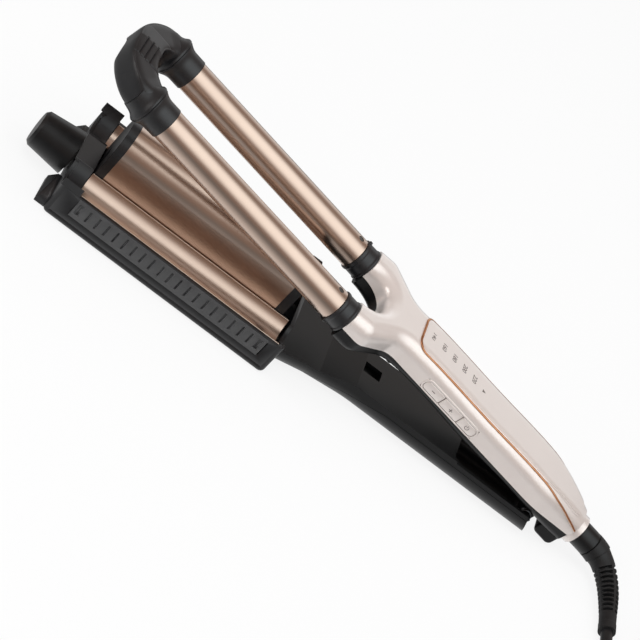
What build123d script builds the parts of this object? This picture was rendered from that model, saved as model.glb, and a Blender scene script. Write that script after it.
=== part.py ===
from build123d import *
import math
import os

# Hair waver: two round heated barrels on a fork close over two heated troughs and a liftable
# centre barrel. The two arms meet at a sprung hinge at the rear of the handle.
#
# Everything is drawn in the level frame first: X runs forward along the round barrels from
# their handle end, Y points to the side with the buttons, Z is up from the barrel axes.
# The handle side is then turned about the hinge pin to the open position, and the whole part
# is set down on its lower arm.

# Jaw
jaw_open = 11.6
jaw_stop = 1.2
hinge_x = -152.0
hinge_z = -9.0
play = 0.06
slip = 0.3

# Round barrels
barrel_r = 8.5
barrel_wall = 1.0
barrel_len = 121.25
core_play = 0.15
core_rear_x = 12.0
core_front_x = 108.0
strip_half_width = 5.0
strip_thick = 2.0
barrel_screw_x = 4.5
barrel_screw_r = 1.6
barrel_screw_len = 3.4

# Black collars
collar_len = 9.0
collar_r = 9.0
collar_plug = 8.0
collar_tail = 9.0
collar_tail_r = 5.7
wire_bore_r = 2.6

# Cool tip
tip_r = 8.8
tip_sleeve_r = 9.3
tip_sleeve_x = 135.0
tip_flare_r = 10.6
tip_flare_len = 3.0
tip_arch_x = 150.7
tip_bend = 20.3
tip_plug = 8.0
tip_notch_gap = 1.2
collar_gap = 0.4

# Handle
handle_half_width = 16.5
handle_top = 14.0
handle_bottom = -5.2
parting_z = -0.4
shell_wall = 2.0
edge_round = 7.2
under_inset = 0.6
under_round = 4.0
branch_half_width = 9.0
branch_top = 9.3
branch_bottom = -8.6
shoulder_x = -20.5
waist_x = -38.0
valley_x = -23.0
crown_x = -55.0
taper_x = -148.0
shell_rear_x = -175.0
neck_x = -179.0
neck_r = 8.6
neck_half_width = 9.6
neck_top = 9.2
neck_bottom = -8.2
heel_front_x = -162.5
heel_z = -14.5
heel_half_width = 8.0
heel_round = 3.0

# Top panel and trim
panel_front_x = -44.5
panel_taper_x = -140.0
panel_rear_x = -171.0
panel_half_width = 12.2
panel_rear_half_width = 7.2
panel_round = 6.0
panel_rise = 0.5
panel_recess = 0.9
trim_width = 0.7
trim_rise = 0.25

# Indicator lights
light_count = 5
light_x = -56.0
light_pitch = 9.4
light_r = 1.1
light_bar_z = 8.6
light_bar_thick = 1.2
light_bar_half_width = 2.0
led_size = 1.6

# Side buttons
button_front_x = -61.5
button_lengths = (12.8, 13.4, 11.2)
button_names = ("button_minus", "button_plus", "button_power")
button_height = 6.2
button_z = 3.5
button_gap = 0.3
button_proud = 0.4
button_flange = 0.9
button_travel = 0.6
stem_r = 1.3
button_edge = 0.35

# Control board
board_front_x = -50.0
board_rear_x = -136.0
board_half_width = 11.5
board_z = -1.2
board_thick = 1.6
transformer_x = (-122.0, -106.0)
transformer_y = (-7.0, 4.0)
transformer_height = 5.0
capacitor_x = (-100.0, -95.0)
capacitor_y = (-8.0, 0.0)
capacitor_height = 3.0
post_r = 2.2
post_inset = 6.0
post_edge = 1.2
front_post_pitch = 26.0
switch_size = 4.0
switch_height = 5.4
nub_len = 0.6

# Shell screws
screw_r = 1.1
screw_head_r = 2.0
screw_head = 1.4

# Hinge and hook
pin_r = 2.0
pin_seat = 1.4
boss_r = 4.8
boss_half_width = 9.0
hook_x = -48.5
hook_y = -2.0
hook_len = 5.0
hook_half_width = 2.0
hook_z = -14.5
wire_r = 0.6
coil_r = 3.0
coil_turns = 2.5
coil_pitch = 1.3

# Lower arm
arm_half_width = 16.3
arm_floor = -20.0
arm_top = -5.0
arm_round = 10.5
arm_wall = 2.0
arm_front_wall = 3.0
arm_rear_top_x = -153.0
arm_rear_x = -158.0
arm_throat_x = -43.0
throat_mid_x = -19.0
throat_mid_half_width = 20.3
throat_half_width = 26.0
throat_top = -9.0
throat_top_x = -24.0
channel_x = -105.0
channel_top = -6.2
seam_front_z = -16.5
seam_rear_z = -9.0
seam_front_x = -16.0
seam_rear_x = -65.0
seam_gap = 0.25
slot_half_len = 5.0
slot_half_width = 4.0
arm_boss_r = 3.2
arm_screw_xs = (-30.0, -96.0)

# Head tray
tray_half_width = 35.8
tray_front_x = 133.7
tray_wall = 1.9
tray_floor = 1.6
tray_top = -0.4
tray_corner = 3.0
tray_round = 2.4
rib_count = 17
rib_first_x = 14.6
rib_pitch = 6.3
rib_depth = 0.6
rib_width = 1.3
rib_top = -2.6
rib_bottom = -12.0
end_slot_xs = (8.6, 120.2)
end_slot_depth = 1.1
seam_groove_z = -16.4
seam_groove = 0.45
nose_x = 139.0
nose_step_x = 135.5
nose_half_gap = 14.0
nose_z = -12.0
nose_break_z = -16.5
tray_screw_y = 14.0
tray_screw_z = -13.0
tray_screw_r = 1.5
tray_screw_head_r = 2.8
tray_screw_head = 1.6
tray_screw_len = 9.0

# Trough plates and their heaters
trough_r = 12.9
trough_half_width = 10.2
trough_side_gap = 0.55
trough_sheet = 0.8
trough_rear_x = 3.4
trough_front_x = 123.0
trough_edge_z = -1.0
seat_rib_xs = (13.0, 113.0)
seat_rib = 2.0
seat_half_width = 9.0
plate_heater_x = (24.0, 104.0)
plate_heater_half_width = 6.5
plate_heater_thick = 3.5
pad_half = 4.0

# Front bracket
bracket_rear_x = 123.5
bracket_front_x = 134.4
bracket_rim_z = 4.4
bracket_ridge_half = 11.0
bracket_bottom_z = -12.0

# Centre barrel and its lift
lift_side_gap = 0.95
lift_axis_z = 15.5
lift_rear_x = 12.5
lift_front_x = 117.6
lift_wall = 1.0
lift_skirt_z = -5.0
lift_travel = 12.0
ring_len = 4.8
ring_extra = 0.3
ring_foot = 3.0
frame_z = 18.2
frame_thick = 1.5
frame_half_width = 6.5
centre_heater_thick = 3.4
foot_len = 8.0
foot_xs = (32.0, 78.0)
guide_x = 20.0
guide_side_gap = 1.1
guide_r = 1.2
guide_top = 5.7
guide_sleeve_r = 2.1
guide_seat_r = 2.4
guide_seat = 3.0

# Shaft and wedge
shaft_z = -7.3
shaft_r = 2.5
shaft_rear_x = 3.0
bearing_len = 5.0
bearing_half_width = 5.0
wedge_half_width = 5.0
wedge_base_z = -16.2
wedge_plate = 2.2
wedge_gap = 0.3
nut_x = 52.0
nut_len = 7.0
nut_top = -3.4
clip_r = 4.2
clip_thick = 1.0

# Dial
dial_base_r = 12.1
dial_tip_r = 9.9
dial_base_x = 135.4
dial_tip_x = 157.0
dial_chamfer = 1.6
dial_bore_depth = 12.0
washer_r = 8.5

# Cord outlet
sleeve_r = 7.0
sleeve_rear_x = -189.5
sleeve_front_x = -168.0
sleeve_flange_r = 7.5
stub_r = 4.2
stub_head_r = 5.4
stub_head = 2.0
stub_head_x = -172.0
relief_start_x = -190.05
relief_straight = 7.5
relief_base_r = 6.4
relief_mid_r = 5.4
relief_tip_r = 4.4

# Cord and plug
cord_r = 3.1
coil_x = -284.5
coil_y = 33.5
coil_mid_r = 34.0
coil_half_band = 12.4
coil_height = 12.4
coil_tail = 25.0
plug_len = 37.0
plug_face_len = 12.0
plug_width = 35.3
plug_neck = 6.5
plug_height = 13.7
plug_pin_r = 2.0
plug_pin_len = 19.0
plug_pin_pitch = 18.6

# Hand-chosen routes: X and Y in the level frame of the lower arm, and height above the table.
relief_route = [(-207.4, 8.6, 7.6), (-213.0, 22.5, 5.6), (-216.0, 41.5, 4.6)]
cord_route = [(-216.0, 41.5, 4.6), (-218.4, 56.7, 3.8), (-227.8, 69.5, 3.3), (-242.05, 76.8, 3.12),
              (-259.5, 76.8, 3.12)]
tail_route = [(-264.5, -3.0, 8.6), (-250.1, 9.4, 10.4), (-242.2, 29.8, 13.6), (-244.95, 45.55, 16.6),
              (-254.0, 57.5, 18.7), (-266.45, 63.9, 19.25), (-280.45, 63.9, 19.25)]

barrel_bore_r = barrel_r - barrel_wall
trough_axis_z = trough_edge_z + math.sqrt(trough_r ** 2 - trough_half_width ** 2)
trough_back_r = trough_r + trough_sheet
arm_inner = arm_half_width - arm_wall
tray_inner = tray_half_width - tray_wall
barrel_y = tray_inner - trough_side_gap - trough_half_width
lift_half_width = barrel_y - trough_half_width - lift_side_gap
guide_y = lift_half_width - lift_wall - guide_sleeve_r - guide_side_gap
tray_deck = arm_floor + tray_floor
wedge_top_z = wedge_base_z + wedge_plate
frame_top_z = frame_z + frame_thick
board_top_z = board_z + board_thick


def rod(radius, x0, x1, y=0.0, z=0.0):
    """Round bar along X."""
    return Pos((x0 + x1) / 2, y, z) * Rot(0, 90, 0) * Cylinder(radius, abs(x1 - x0))


def pin_y(radius, x, z, y0, y1):
    """Round bar along Y."""
    return Pos(x, (y0 + y1) / 2, z) * Rot(90, 0, 0) * Cylinder(radius, abs(y1 - y0))


def post(radius, x, y, z0, z1):
    """Round bar along Z."""
    return Pos(x, y, (z0 + z1) / 2) * Cylinder(radius, abs(z1 - z0))


def block(x0, x1, y0, y1, z0, z1):
    """Box between two corners."""
    middle = Pos((x0 + x1) / 2, (y0 + y1) / 2, (z0 + z1) / 2)
    return middle * Box(abs(x1 - x0), abs(y1 - y0), abs(z1 - z0))


def prism(points, radii, z0, z1):
    """Upright prism on a rounded outline drawn in plan."""
    face = make_face(FilletPolyline(*points, radius=radii, close=True))
    return Pos(0, 0, z0) * extrude(face, z1 - z0)


def side_slab(points, y0, y1):
    """Slab between two Y values whose side view is the outline of X and Z values."""
    outline = Polyline(*[(x, y0, z) for x, z in points], close=True)
    return extrude(make_face(outline), amount=y1 - y0, dir=(0, 1, 0))


def end_slab(points, x0, x1):
    """Slab between two X values whose end view is the outline of Y and Z values."""
    outline = Polyline(*[(x0, y, z) for y, z in points], close=True)
    return extrude(make_face(outline), amount=x1 - x0, dir=(1, 0, 0))


def both_sides(part):
    """A piece and its mirror image across the middle plane."""
    return part + mirror(part, Plane.XZ)


def solids_of(pieces):
    return Compound(children=list(pieces))


# ---- Handle -------------------------------------------------------------------------------

def handle_outline(inset):
    """Plan of the fork and grip, drawn inset from the outer face."""
    outer_y = barrel_y + branch_half_width
    inner_y = barrel_y - branch_half_width
    outer = FilletPolyline((-collar_len, outer_y), (shoulder_x, outer_y), (waist_x, handle_half_width),
                           (taper_x, handle_half_width), (shell_rear_x, neck_half_width),
                           radius=[9.0, 14.0, 60.0])
    inner = FilletPolyline((-collar_len, inner_y), (valley_x, inner_y), (valley_x, -inner_y),
                           (-collar_len, -inner_y), radius=[12.0, 12.0])
    ends = [Line((shell_rear_x, neck_half_width), (shell_rear_x, -neck_half_width)),
            Line((-collar_len, outer_y), (-collar_len, inner_y)),
            Line((-collar_len, -outer_y), (-collar_len, -inner_y))]
    curves = [outer, mirror(outer, Plane.XZ), inner] + ends
    edges = [edge for curve in curves for edge in curve.edges()]
    face = make_face(edges)
    if inset:
        face = offset(face, -inset)
    return face


def top_line(inset):
    """Slab under the crown line of the handle."""
    start = -collar_len + shell_wall
    points = [(start, branch_top - inset), (-28.0, 12.0 - inset), (crown_x, handle_top - inset),
              (-100.0, handle_top + 0.1 - inset), (taper_x, handle_top - inset),
              (neck_x, neck_top - 1.0 - inset)]
    crown = Spline(*[(x, -40.0, z) for x, z in points])
    low = parting_z - 1.0
    walls = Polyline((neck_x, -40.0, neck_top - 1.0 - inset), (neck_x, -40.0, low), (start, -40.0, low),
                     (start, -40.0, branch_top - inset))
    face = make_face([crown.edge()] + list(walls.edges()))
    return extrude(face, amount=80.0, dir=(0, 1, 0))


def handle_form(inset, z_low):
    """Closed body of the upper half of the handle, inset from its outer face."""
    body = Pos(0, 0, z_low) * extrude(handle_outline(inset), handle_top + 2.0 - z_low)
    body = body & top_line(inset)
    crown = [face for face in body.faces() if face.normal_at().Z > 0.7]
    rims = [edge for face in crown for edge in face.edges()]
    front = -collar_len - inset
    rear = shell_rear_x + inset
    sides = [edge for edge in rims if rear + 0.3 < edge.center().X < front - 0.3]
    return fillet(sides, edge_round - inset)


def keel_line(depth):
    """Slab above the belly line of the handle, raised by depth."""
    points = [(0.0, branch_bottom - 0.2), (-26.0, branch_bottom + 0.1), (-48.0, handle_bottom - 0.1),
              (-100.0, handle_bottom), (taper_x, handle_bottom - 0.1), (-166.0, neck_bottom + 0.5),
              (neck_x - 4.0, neck_bottom - 0.4)]
    keel = Spline(*[(x, -40.0, z + depth) for x, z in points])
    first = points[0][1] + depth
    last = points[-1][1] + depth
    walls = Polyline((neck_x - 4.0, -40.0, last), (neck_x - 4.0, -40.0, parting_z), (0.0, -40.0, parting_z),
                     (0.0, -40.0, first))
    face = make_face([keel.edge()] + list(walls.edges()))
    return extrude(face, amount=80.0, dir=(0, 1, 0))


def under_form(inset):
    """Closed body of the lower half of the handle, inset from the upper half's outer face."""
    depth = inset - under_inset
    body = Pos(0, 0, branch_bottom - 1.0) * extrude(handle_outline(inset), parting_z - branch_bottom + 1.0)
    body = body & keel_line(depth)
    belly = [face for face in body.faces() if face.normal_at().Z < -0.7]
    rims = [edge for face in belly for edge in face.edges()]
    front = -collar_len - inset
    rear = shell_rear_x + inset
    sides = [edge for edge in rims if rear + 0.3 < edge.center().X < front - 0.3]
    return fillet(sides, under_round - 0.5 * depth)


def panel_plan(grow):
    """Upright prism on the panel's outline, grown evenly."""
    half = panel_half_width + grow
    rear_half = panel_rear_half_width + grow
    front = panel_front_x + grow
    rear = panel_rear_x - grow
    points = [(front, half), (panel_taper_x, half), (rear, rear_half), (rear, -rear_half),
              (panel_taper_x, -half), (front, -half)]
    corner = panel_round + grow
    return prism(points, [corner, 30.0, corner, corner, 30.0, corner], 2.0, handle_top + 4.0)


def button_spans():
    """Front and rear X of each side button."""
    spans = []
    front = button_front_x
    for length in button_lengths:
        spans.append((front, front - length))
        front -= length
    return spans


def post_places():
    """Places of the four screw posts that clamp board and shells."""
    front = board_front_x - post_inset
    rear = board_rear_x + post_inset
    side = board_half_width - post_r - post_edge
    return [(front, -side), (front - front_post_pitch, -side), (rear, side), (rear, -side)]


def handle_top_shell(outer):
    inner = handle_form(shell_wall, parting_z)
    shell = outer - inner
    recess = panel_plan(trim_width) - Pos(0, 0, -panel_recess) * outer
    shell -= recess
    strip = button_spans()
    shell -= block(strip[-1][1] - button_gap, strip[0][0] + button_gap, handle_half_width - 3 * shell_wall,
                   handle_half_width + 1.0, button_z - button_height / 2 - button_gap,
                   button_z + button_height / 2 + button_gap)
    for place in light_places():
        shell -= post(light_r + play, place, 0.0, light_bar_z, handle_top + 2.0)
    for y in (-barrel_y, barrel_y):
        shell -= rod(collar_tail_r + play, -collar_len - shell_wall - 1.0, 0.0, y)
    shell -= rod(sleeve_r + play, shell_rear_x - 1.0, shell_rear_x + 2 * shell_wall)
    for x, y in post_places():
        boss = post(post_r + 0.6, x, y, board_top_z + 0.2, handle_top - shell_wall + 0.4)
        shell += boss - post(screw_r, x, y, board_top_z - 1.0, board_top_z + 6.0)
    return shell


def handle_under_shell():
    outer = under_form(under_inset)
    shell = outer - under_form(under_inset + shell_wall)
    heel = block(shell_rear_x, heel_front_x, -heel_half_width, heel_half_width, heel_z, neck_bottom + 1.5)
    heel = fillet(heel.edges().filter_by(Axis.Y).group_by(Axis.Z)[0], heel_round)
    heel = fillet(heel.faces().sort_by(Axis.Z)[0].edges().filter_by(Axis.X), heel_round / 2)
    boss = pin_y(boss_r, hinge_x, hinge_z, -boss_half_width, boss_half_width)
    boss += block(hinge_x - boss_r, hinge_x + boss_r, -boss_half_width, boss_half_width, hinge_z,
                  handle_bottom + shell_wall / 2)
    hook = block(hook_x - hook_len / 2, hook_x + hook_len / 2, hook_y - hook_half_width,
                 hook_y + hook_half_width, hook_z, handle_bottom + shell_wall / 2)
    hook = chamfer(hook.faces().sort_by(Axis.Z)[0].edges().filter_by(Axis.Y), hook_half_width * 0.8)
    shell += [heel, boss, hook]
    for x, y in post_places():
        shell += post(post_r + 0.4, x, y, handle_bottom + shell_wall / 2, board_z)
        shell -= post(screw_head_r + 0.2, x, y, handle_bottom - 1.0, handle_bottom + screw_head + 0.2)
        shell -= post(screw_r + play, x, y, handle_bottom - 1.0, board_z + 1.0)
    shell -= pin_y(pin_r + play, hinge_x, hinge_z, -arm_half_width, arm_half_width)
    shell -= pin_y(coil_r + 2 * wire_r + slip, hinge_x, hinge_z, boss_half_width, arm_half_width)
    for y in (-barrel_y, barrel_y):
        shell -= rod(collar_tail_r + play, -collar_len - shell_wall - 1.0, 0.0, y)
    shell -= rod(sleeve_flange_r + play, shell_rear_x + shell_wall - 0.2, sleeve_front_x + 1.0)
    shell -= rod(sleeve_r + play, shell_rear_x - 1.0, shell_rear_x + 2 * shell_wall)
    shell -= rod(sleeve_r + play, shell_rear_x - 1.0, heel_front_x + 2.0)
    return shell


def light_places():
    return [light_x - light_pitch * number for number in range(light_count)]


def top_panel(outer):
    lid = panel_plan(0.0) & (Pos(0, 0, panel_rise) * outer)
    return lid - Pos(0, 0, -panel_recess) * outer


def panel_trim(outer):
    frame = (panel_plan(trim_width) - panel_plan(0.0)) & (Pos(0, 0, trim_rise) * outer)
    return frame - Pos(0, 0, -panel_recess) * outer


def light_guides():
    """One clear strip with a light pipe under each mark of the panel."""
    places = light_places()
    bar = block(places[-1] - light_bar_half_width, places[0] + light_bar_half_width, -light_bar_half_width,
                light_bar_half_width, light_bar_z - light_bar_thick, light_bar_z)
    for x in places:
        bar += post(light_r, x, 0.0, light_bar_z - 1.0, handle_top - panel_recess)
        bar += post(light_r, x, 0.0, board_top_z + led_size * 0.6 + slip, light_bar_z - 1.0)
    return bar


def indicator_leds():
    half = led_size / 2
    return solids_of(block(x - half, x + half, -half, half, board_top_z, board_top_z + led_size * 0.6)
                     for x in light_places())


def control_board():
    board = block(board_rear_x, board_front_x, -board_half_width, board_half_width, board_z, board_top_z)
    for x, y in post_places():
        board -= post(screw_r + play, x, y, board_z - 1.0, board_top_z + 1.0)
    board += block(*transformer_x, *transformer_y, board_top_z, board_top_z + transformer_height)
    board += block(*capacitor_x, *capacitor_y, board_top_z, board_top_z + capacitor_height)
    return board


def nub_face_y():
    """Y of the switch plungers' faces."""
    return board_half_width - 0.6


def tact_switches():
    """Three side-acting switches, one behind each button."""
    pieces = []
    for front, rear in button_spans():
        middle = (front + rear) / 2
        face = nub_face_y() - nub_len
        body = block(middle - switch_size / 2, middle + switch_size / 2, face - switch_size, face,
                     board_top_z, board_top_z + switch_height)
        pieces.append(body + pin_y(stem_r * 0.8, middle, button_z, face - 0.5, face + nub_len))
    return solids_of(pieces)


def side_button(front, rear):
    """Push button with a retaining flange behind the wall and a stem to its switch."""
    half = button_height / 2
    wall_y = handle_half_width - shell_wall
    cap = block(rear + button_gap / 2, front - button_gap / 2, wall_y - slip - 1.0,
                handle_half_width + button_proud, button_z - half, button_z + half)
    cap = fillet(cap.faces().sort_by(Axis.Y)[-1].edges(), button_edge)
    flange = block(rear + button_gap / 2, front - button_gap / 2, wall_y - slip - 1.0, wall_y - slip,
                   button_z - half - button_flange / 2, button_z + half + button_flange)
    middle = (front + rear) / 2
    stem = pin_y(stem_r, middle, button_z, nub_face_y() + button_travel + 0.15, wall_y - slip - 0.5)
    return cap + flange + stem


def shell_screws():
    """Four screws through under shell and board into the top shell's bosses."""
    low = handle_bottom + screw_head
    return solids_of(post(screw_head_r, x, y, low - screw_head + 0.2, low + 0.2)
                     + post(screw_r, x, y, low, board_top_z + 5.0) for x, y in post_places())


def round_barrel(y):
    """Heated tube with the screw's hole through its top wall."""
    tube = rod(barrel_r, 0.0, barrel_len, y) - rod(barrel_bore_r, -1.0, barrel_len + 1.0, y)
    return tube - post(barrel_screw_r + play, barrel_screw_x, y, 0.0, barrel_r + 1.0)


def barrel_core(y):
    """Aluminium spreader with a flat pocket for the heating strip."""
    core = rod(barrel_bore_r - core_play, core_rear_x, core_front_x, y)
    half = strip_half_width + play
    return core - block(core_rear_x - 1.0, core_front_x + 1.0, y - half, y + half, -strip_thick / 2 - play,
                        strip_thick / 2 + play)


def barrel_strip(y):
    return block(core_rear_x + 4.0, core_front_x - 4.0, y - strip_half_width, y + strip_half_width,
                 -strip_thick / 2, strip_thick / 2)


def collar(y):
    """Heat-resistant holder: plug in the barrel, visible ring, tail in the fork."""
    body = rod(collar_r, -collar_len, 0.0, y)
    body += rod(barrel_bore_r - play, -1.0, collar_plug, y)
    body += rod(collar_tail_r, -collar_len - collar_tail, -collar_len + 1.0, y)
    body -= rod(wire_bore_r, -collar_len - collar_tail - 1.0, collar_plug + 1.0, y)
    return body - post(barrel_screw_r * 0.7, barrel_screw_x, y, wire_bore_r, barrel_r + 1.0)


def barrel_screws():
    pieces = []
    for y in (-barrel_y, barrel_y):
        head = post(barrel_screw_r, barrel_screw_x, y, barrel_bore_r + play, barrel_r - 0.3)
        shank = post(barrel_screw_r * 0.7, barrel_screw_x, y, barrel_r - 0.4 - barrel_screw_len, barrel_bore_r + 0.2)
        pieces.append(head + shank)
    return solids_of(pieces)


def cool_tip():
    """Round loop joining both barrel ends, notched below for the dial."""
    start = barrel_len + 1.0
    path = FilletPolyline((start, -barrel_y), (tip_arch_x, -barrel_y), (tip_arch_x, barrel_y), (start, barrel_y),
                          radius=[tip_bend, tip_bend])
    section = Plane(origin=(start, -barrel_y, 0), x_dir=(0, 1, 0), z_dir=(1, 0, 0)) * Circle(tip_r)
    loop = sweep(section, path=path)
    for y in (-barrel_y, barrel_y):
        loop += rod(tip_sleeve_r, barrel_len, tip_sleeve_x, y)
        loop += rod(tip_flare_r, tip_sleeve_x - tip_flare_len, tip_sleeve_x, y)
        loop += rod(barrel_bore_r - play, barrel_len - tip_plug, barrel_len + 1.0, y)
    closed_drop = math.tan(math.radians(jaw_stop)) * (tip_arch_x - hinge_x)
    notch = rod(dial_base_r + tip_notch_gap, dial_base_x - 12.0, dial_tip_x + 12.0, 0.0, shaft_z - closed_drop)
    return loop - notch


def end_ring():
    """Ring that holds both shell halves round the outlet sleeve."""
    return rod(neck_r, neck_x, shell_rear_x - 0.05) - rod(sleeve_r + play, neck_x - 1.0, shell_rear_x + 1.0)


def swivel_socket():
    """Sleeve clamped in the neck, with a bearing for the cord's swivel."""
    sleeve = rod(sleeve_r, sleeve_rear_x, sleeve_front_x)
    sleeve += rod(sleeve_flange_r, shell_rear_x + shell_wall + 0.4, sleeve_front_x - 1.5)
    sleeve -= rod(stub_r + play, sleeve_rear_x - 1.0, sleeve_front_x + 1.0)
    return sleeve - rod(stub_head_r + play, stub_head_x - stub_head - play, sleeve_front_x + 1.0)


def swivel_stub():
    """Headed spool that turns in the sleeve and carries the strain relief."""
    stub = rod(stub_r, relief_start_x, stub_head_x - 0.5)
    stub += rod(stub_head_r, stub_head_x - stub_head, stub_head_x)
    return stub - rod(1.9, relief_start_x - 1.0, stub_head_x + 1.0)


# ---- Lower arm ----------------------------------------------------------------------------

def arm_outline(inset, rear_x):
    """Plan of the arm from its wide throat to the hinge end."""
    side = FilletPolyline((0.0, throat_half_width), (throat_mid_x, throat_mid_half_width),
                          (arm_throat_x, arm_half_width), (rear_x, arm_half_width), radius=[20.0, 60.0])
    ends = [Line((rear_x, arm_half_width), (rear_x, -arm_half_width)),
            Line((0.0, throat_half_width), (0.0, -throat_half_width))]
    curves = [side, mirror(side, Plane.XZ)] + ends
    face = make_face([edge for curve in curves for edge in curve.edges()])
    if inset:
        face = offset(face, -inset)
    return face


def arm_form(inset, rear_x):
    """Closed body of the arm, inset from its outer face."""
    top = arm_top - inset
    throat = throat_top - inset
    low = arm_floor + inset
    outline = arm_outline(inset, rear_x)
    body = Pos(0, 0, low) * extrude(outline, top - low)
    crown = [(1.0, low), (1.0, throat), (throat_top_x, throat), (arm_throat_x, top), (rear_x - 1.0, top),
             (rear_x - 1.0, low)]
    body = body & side_slab(crown, -40.0, 40.0)
    floor_face = body.faces().sort_by(Axis.Z)[0]
    sides = [edge for edge in floor_face.edges() if rear_x + inset + 0.3 < edge.center().X < -inset - 0.3]
    return fillet(sides, min(arm_round - inset, throat - low - 0.5))


def seam_points(lift):
    return [(5.0, seam_front_z + lift), (seam_front_x, seam_front_z + lift), (seam_rear_x, seam_rear_z + lift),
            (arm_rear_x - 10.0, seam_rear_z + lift)]


def arm_shell():
    """Both covers of the arm in one: hollow, with an open channel under the handle's rear."""
    shell = arm_form(0.0, arm_rear_x - 4.0) - arm_form(arm_wall, arm_rear_x - 20.0)
    low = arm_floor + arm_wall
    shell -= block(arm_rear_x - 20.0, channel_x, -arm_inner, arm_inner, low + arm_round - arm_wall, 0.0)
    shell -= block(arm_rear_x - 20.0, channel_x - arm_wall, -arm_half_width - 1.0, arm_half_width + 1.0,
                   channel_top, 0.0)
    cut = [(arm_rear_top_x, channel_top + 1.0), (arm_rear_x, arm_floor - 1.0), (arm_rear_x - 20.0, arm_floor - 1.0),
           (arm_rear_x - 20.0, 0.0), (arm_rear_top_x, 0.0)]
    shell -= side_slab(cut, -40.0, 40.0)
    shell += block(-arm_front_wall, -arm_wall + 0.5, -throat_mid_half_width, throat_mid_half_width,
                   arm_floor + arm_wall, throat_top - 0.5)
    shell -= block(hook_x - slot_half_len, hook_x + slot_half_len, hook_y - slot_half_width,
                   hook_y + slot_half_width, arm_top - arm_wall - 1.0, 0.0)
    half = arm_half_width - pin_seat + 0.8
    shell -= pin_y(pin_r + play, hinge_x, hinge_z, -half, half)
    for y in (-tray_screw_y, tray_screw_y):
        shell += rod(tray_screw_r + 1.4, -tray_screw_len, -arm_front_wall + 0.5, y, tray_screw_z)
        shell -= rod(tray_screw_r + play, -tray_screw_len, 1.0, y, tray_screw_z)
    return shell


def arm_cover_upper(shell):
    above = seam_points(seam_gap) + [(arm_rear_x - 10.0, 5.0), (5.0, 5.0)]
    cover = shell & side_slab(above, -40.0, 40.0)
    for x in arm_screw_xs:
        roof = arm_roof_z(x)
        bore = post(screw_r + play, x, 0.0, arm_floor + arm_wall, roof)
        cover += post(arm_boss_r, x, 0.0, seam_z(x) + 1.0, roof) - bore
        cover -= bore
    return cover


def seam_z(x):
    """Height of the seam between the arm's covers."""
    share = (x - seam_front_x) / (seam_rear_x - seam_front_x)
    share = min(max(share, 0.0), 1.0)
    return seam_front_z + share * (seam_rear_z - seam_front_z)


def arm_roof_z(x):
    """Underside of the arm's roof, a little inside the material."""
    share = min(max((throat_top_x - x) / (throat_top_x - arm_throat_x), 0.0), 1.0)
    return throat_top + share * (arm_top - throat_top) - arm_wall / 2


def arm_cover_lower(shell):
    below = seam_points(0.0) + [(arm_rear_x - 10.0, arm_floor - 2.0), (5.0, arm_floor - 2.0)]
    cover = shell & side_slab(below, -40.0, 40.0)
    for x in arm_screw_xs:
        cover += post(arm_boss_r + 0.6, x, 0.0, arm_floor + arm_wall / 2, seam_z(x) + 0.8)
        cover -= post(screw_r + play, x, 0.0, arm_floor - 1.0, seam_z(x) + 2.0)
        cover -= post(screw_head_r + 0.2, x, 0.0, arm_floor - 1.0, arm_floor + screw_head + 0.6)
    return cover


def arm_screws():
    """Screws that pull the arm's lower cover up against the bosses of the upper one."""
    low = arm_floor + 0.5
    return solids_of(post(screw_head_r, x, 0.0, low, low + screw_head)
                     + post(screw_r, x, 0.0, low + screw_head - 0.1, arm_roof_z(x) - slip) for x in arm_screw_xs)


def hinge_pin():
    half = arm_half_width - pin_seat + 0.6
    return pin_y(pin_r, hinge_x, hinge_z, -half, half)


def hinge_spring():
    """Torsion spring beside the boss, with a leg on each arm."""
    start_y = boss_half_width + wire_r + slip
    coil = Helix(coil_pitch, coil_pitch * coil_turns, coil_r)
    wire = sweep(Plane(origin=coil @ 0, z_dir=coil % 0) * Circle(wire_r), path=coil)
    wire = Pos(hinge_x, start_y, hinge_z) * Rot(-90, 0, 0) * wire
    lower_leg = rod(wire_r, hinge_x, hinge_x + 14.0, start_y, hinge_z - coil_r)
    return wire + lower_leg


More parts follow.
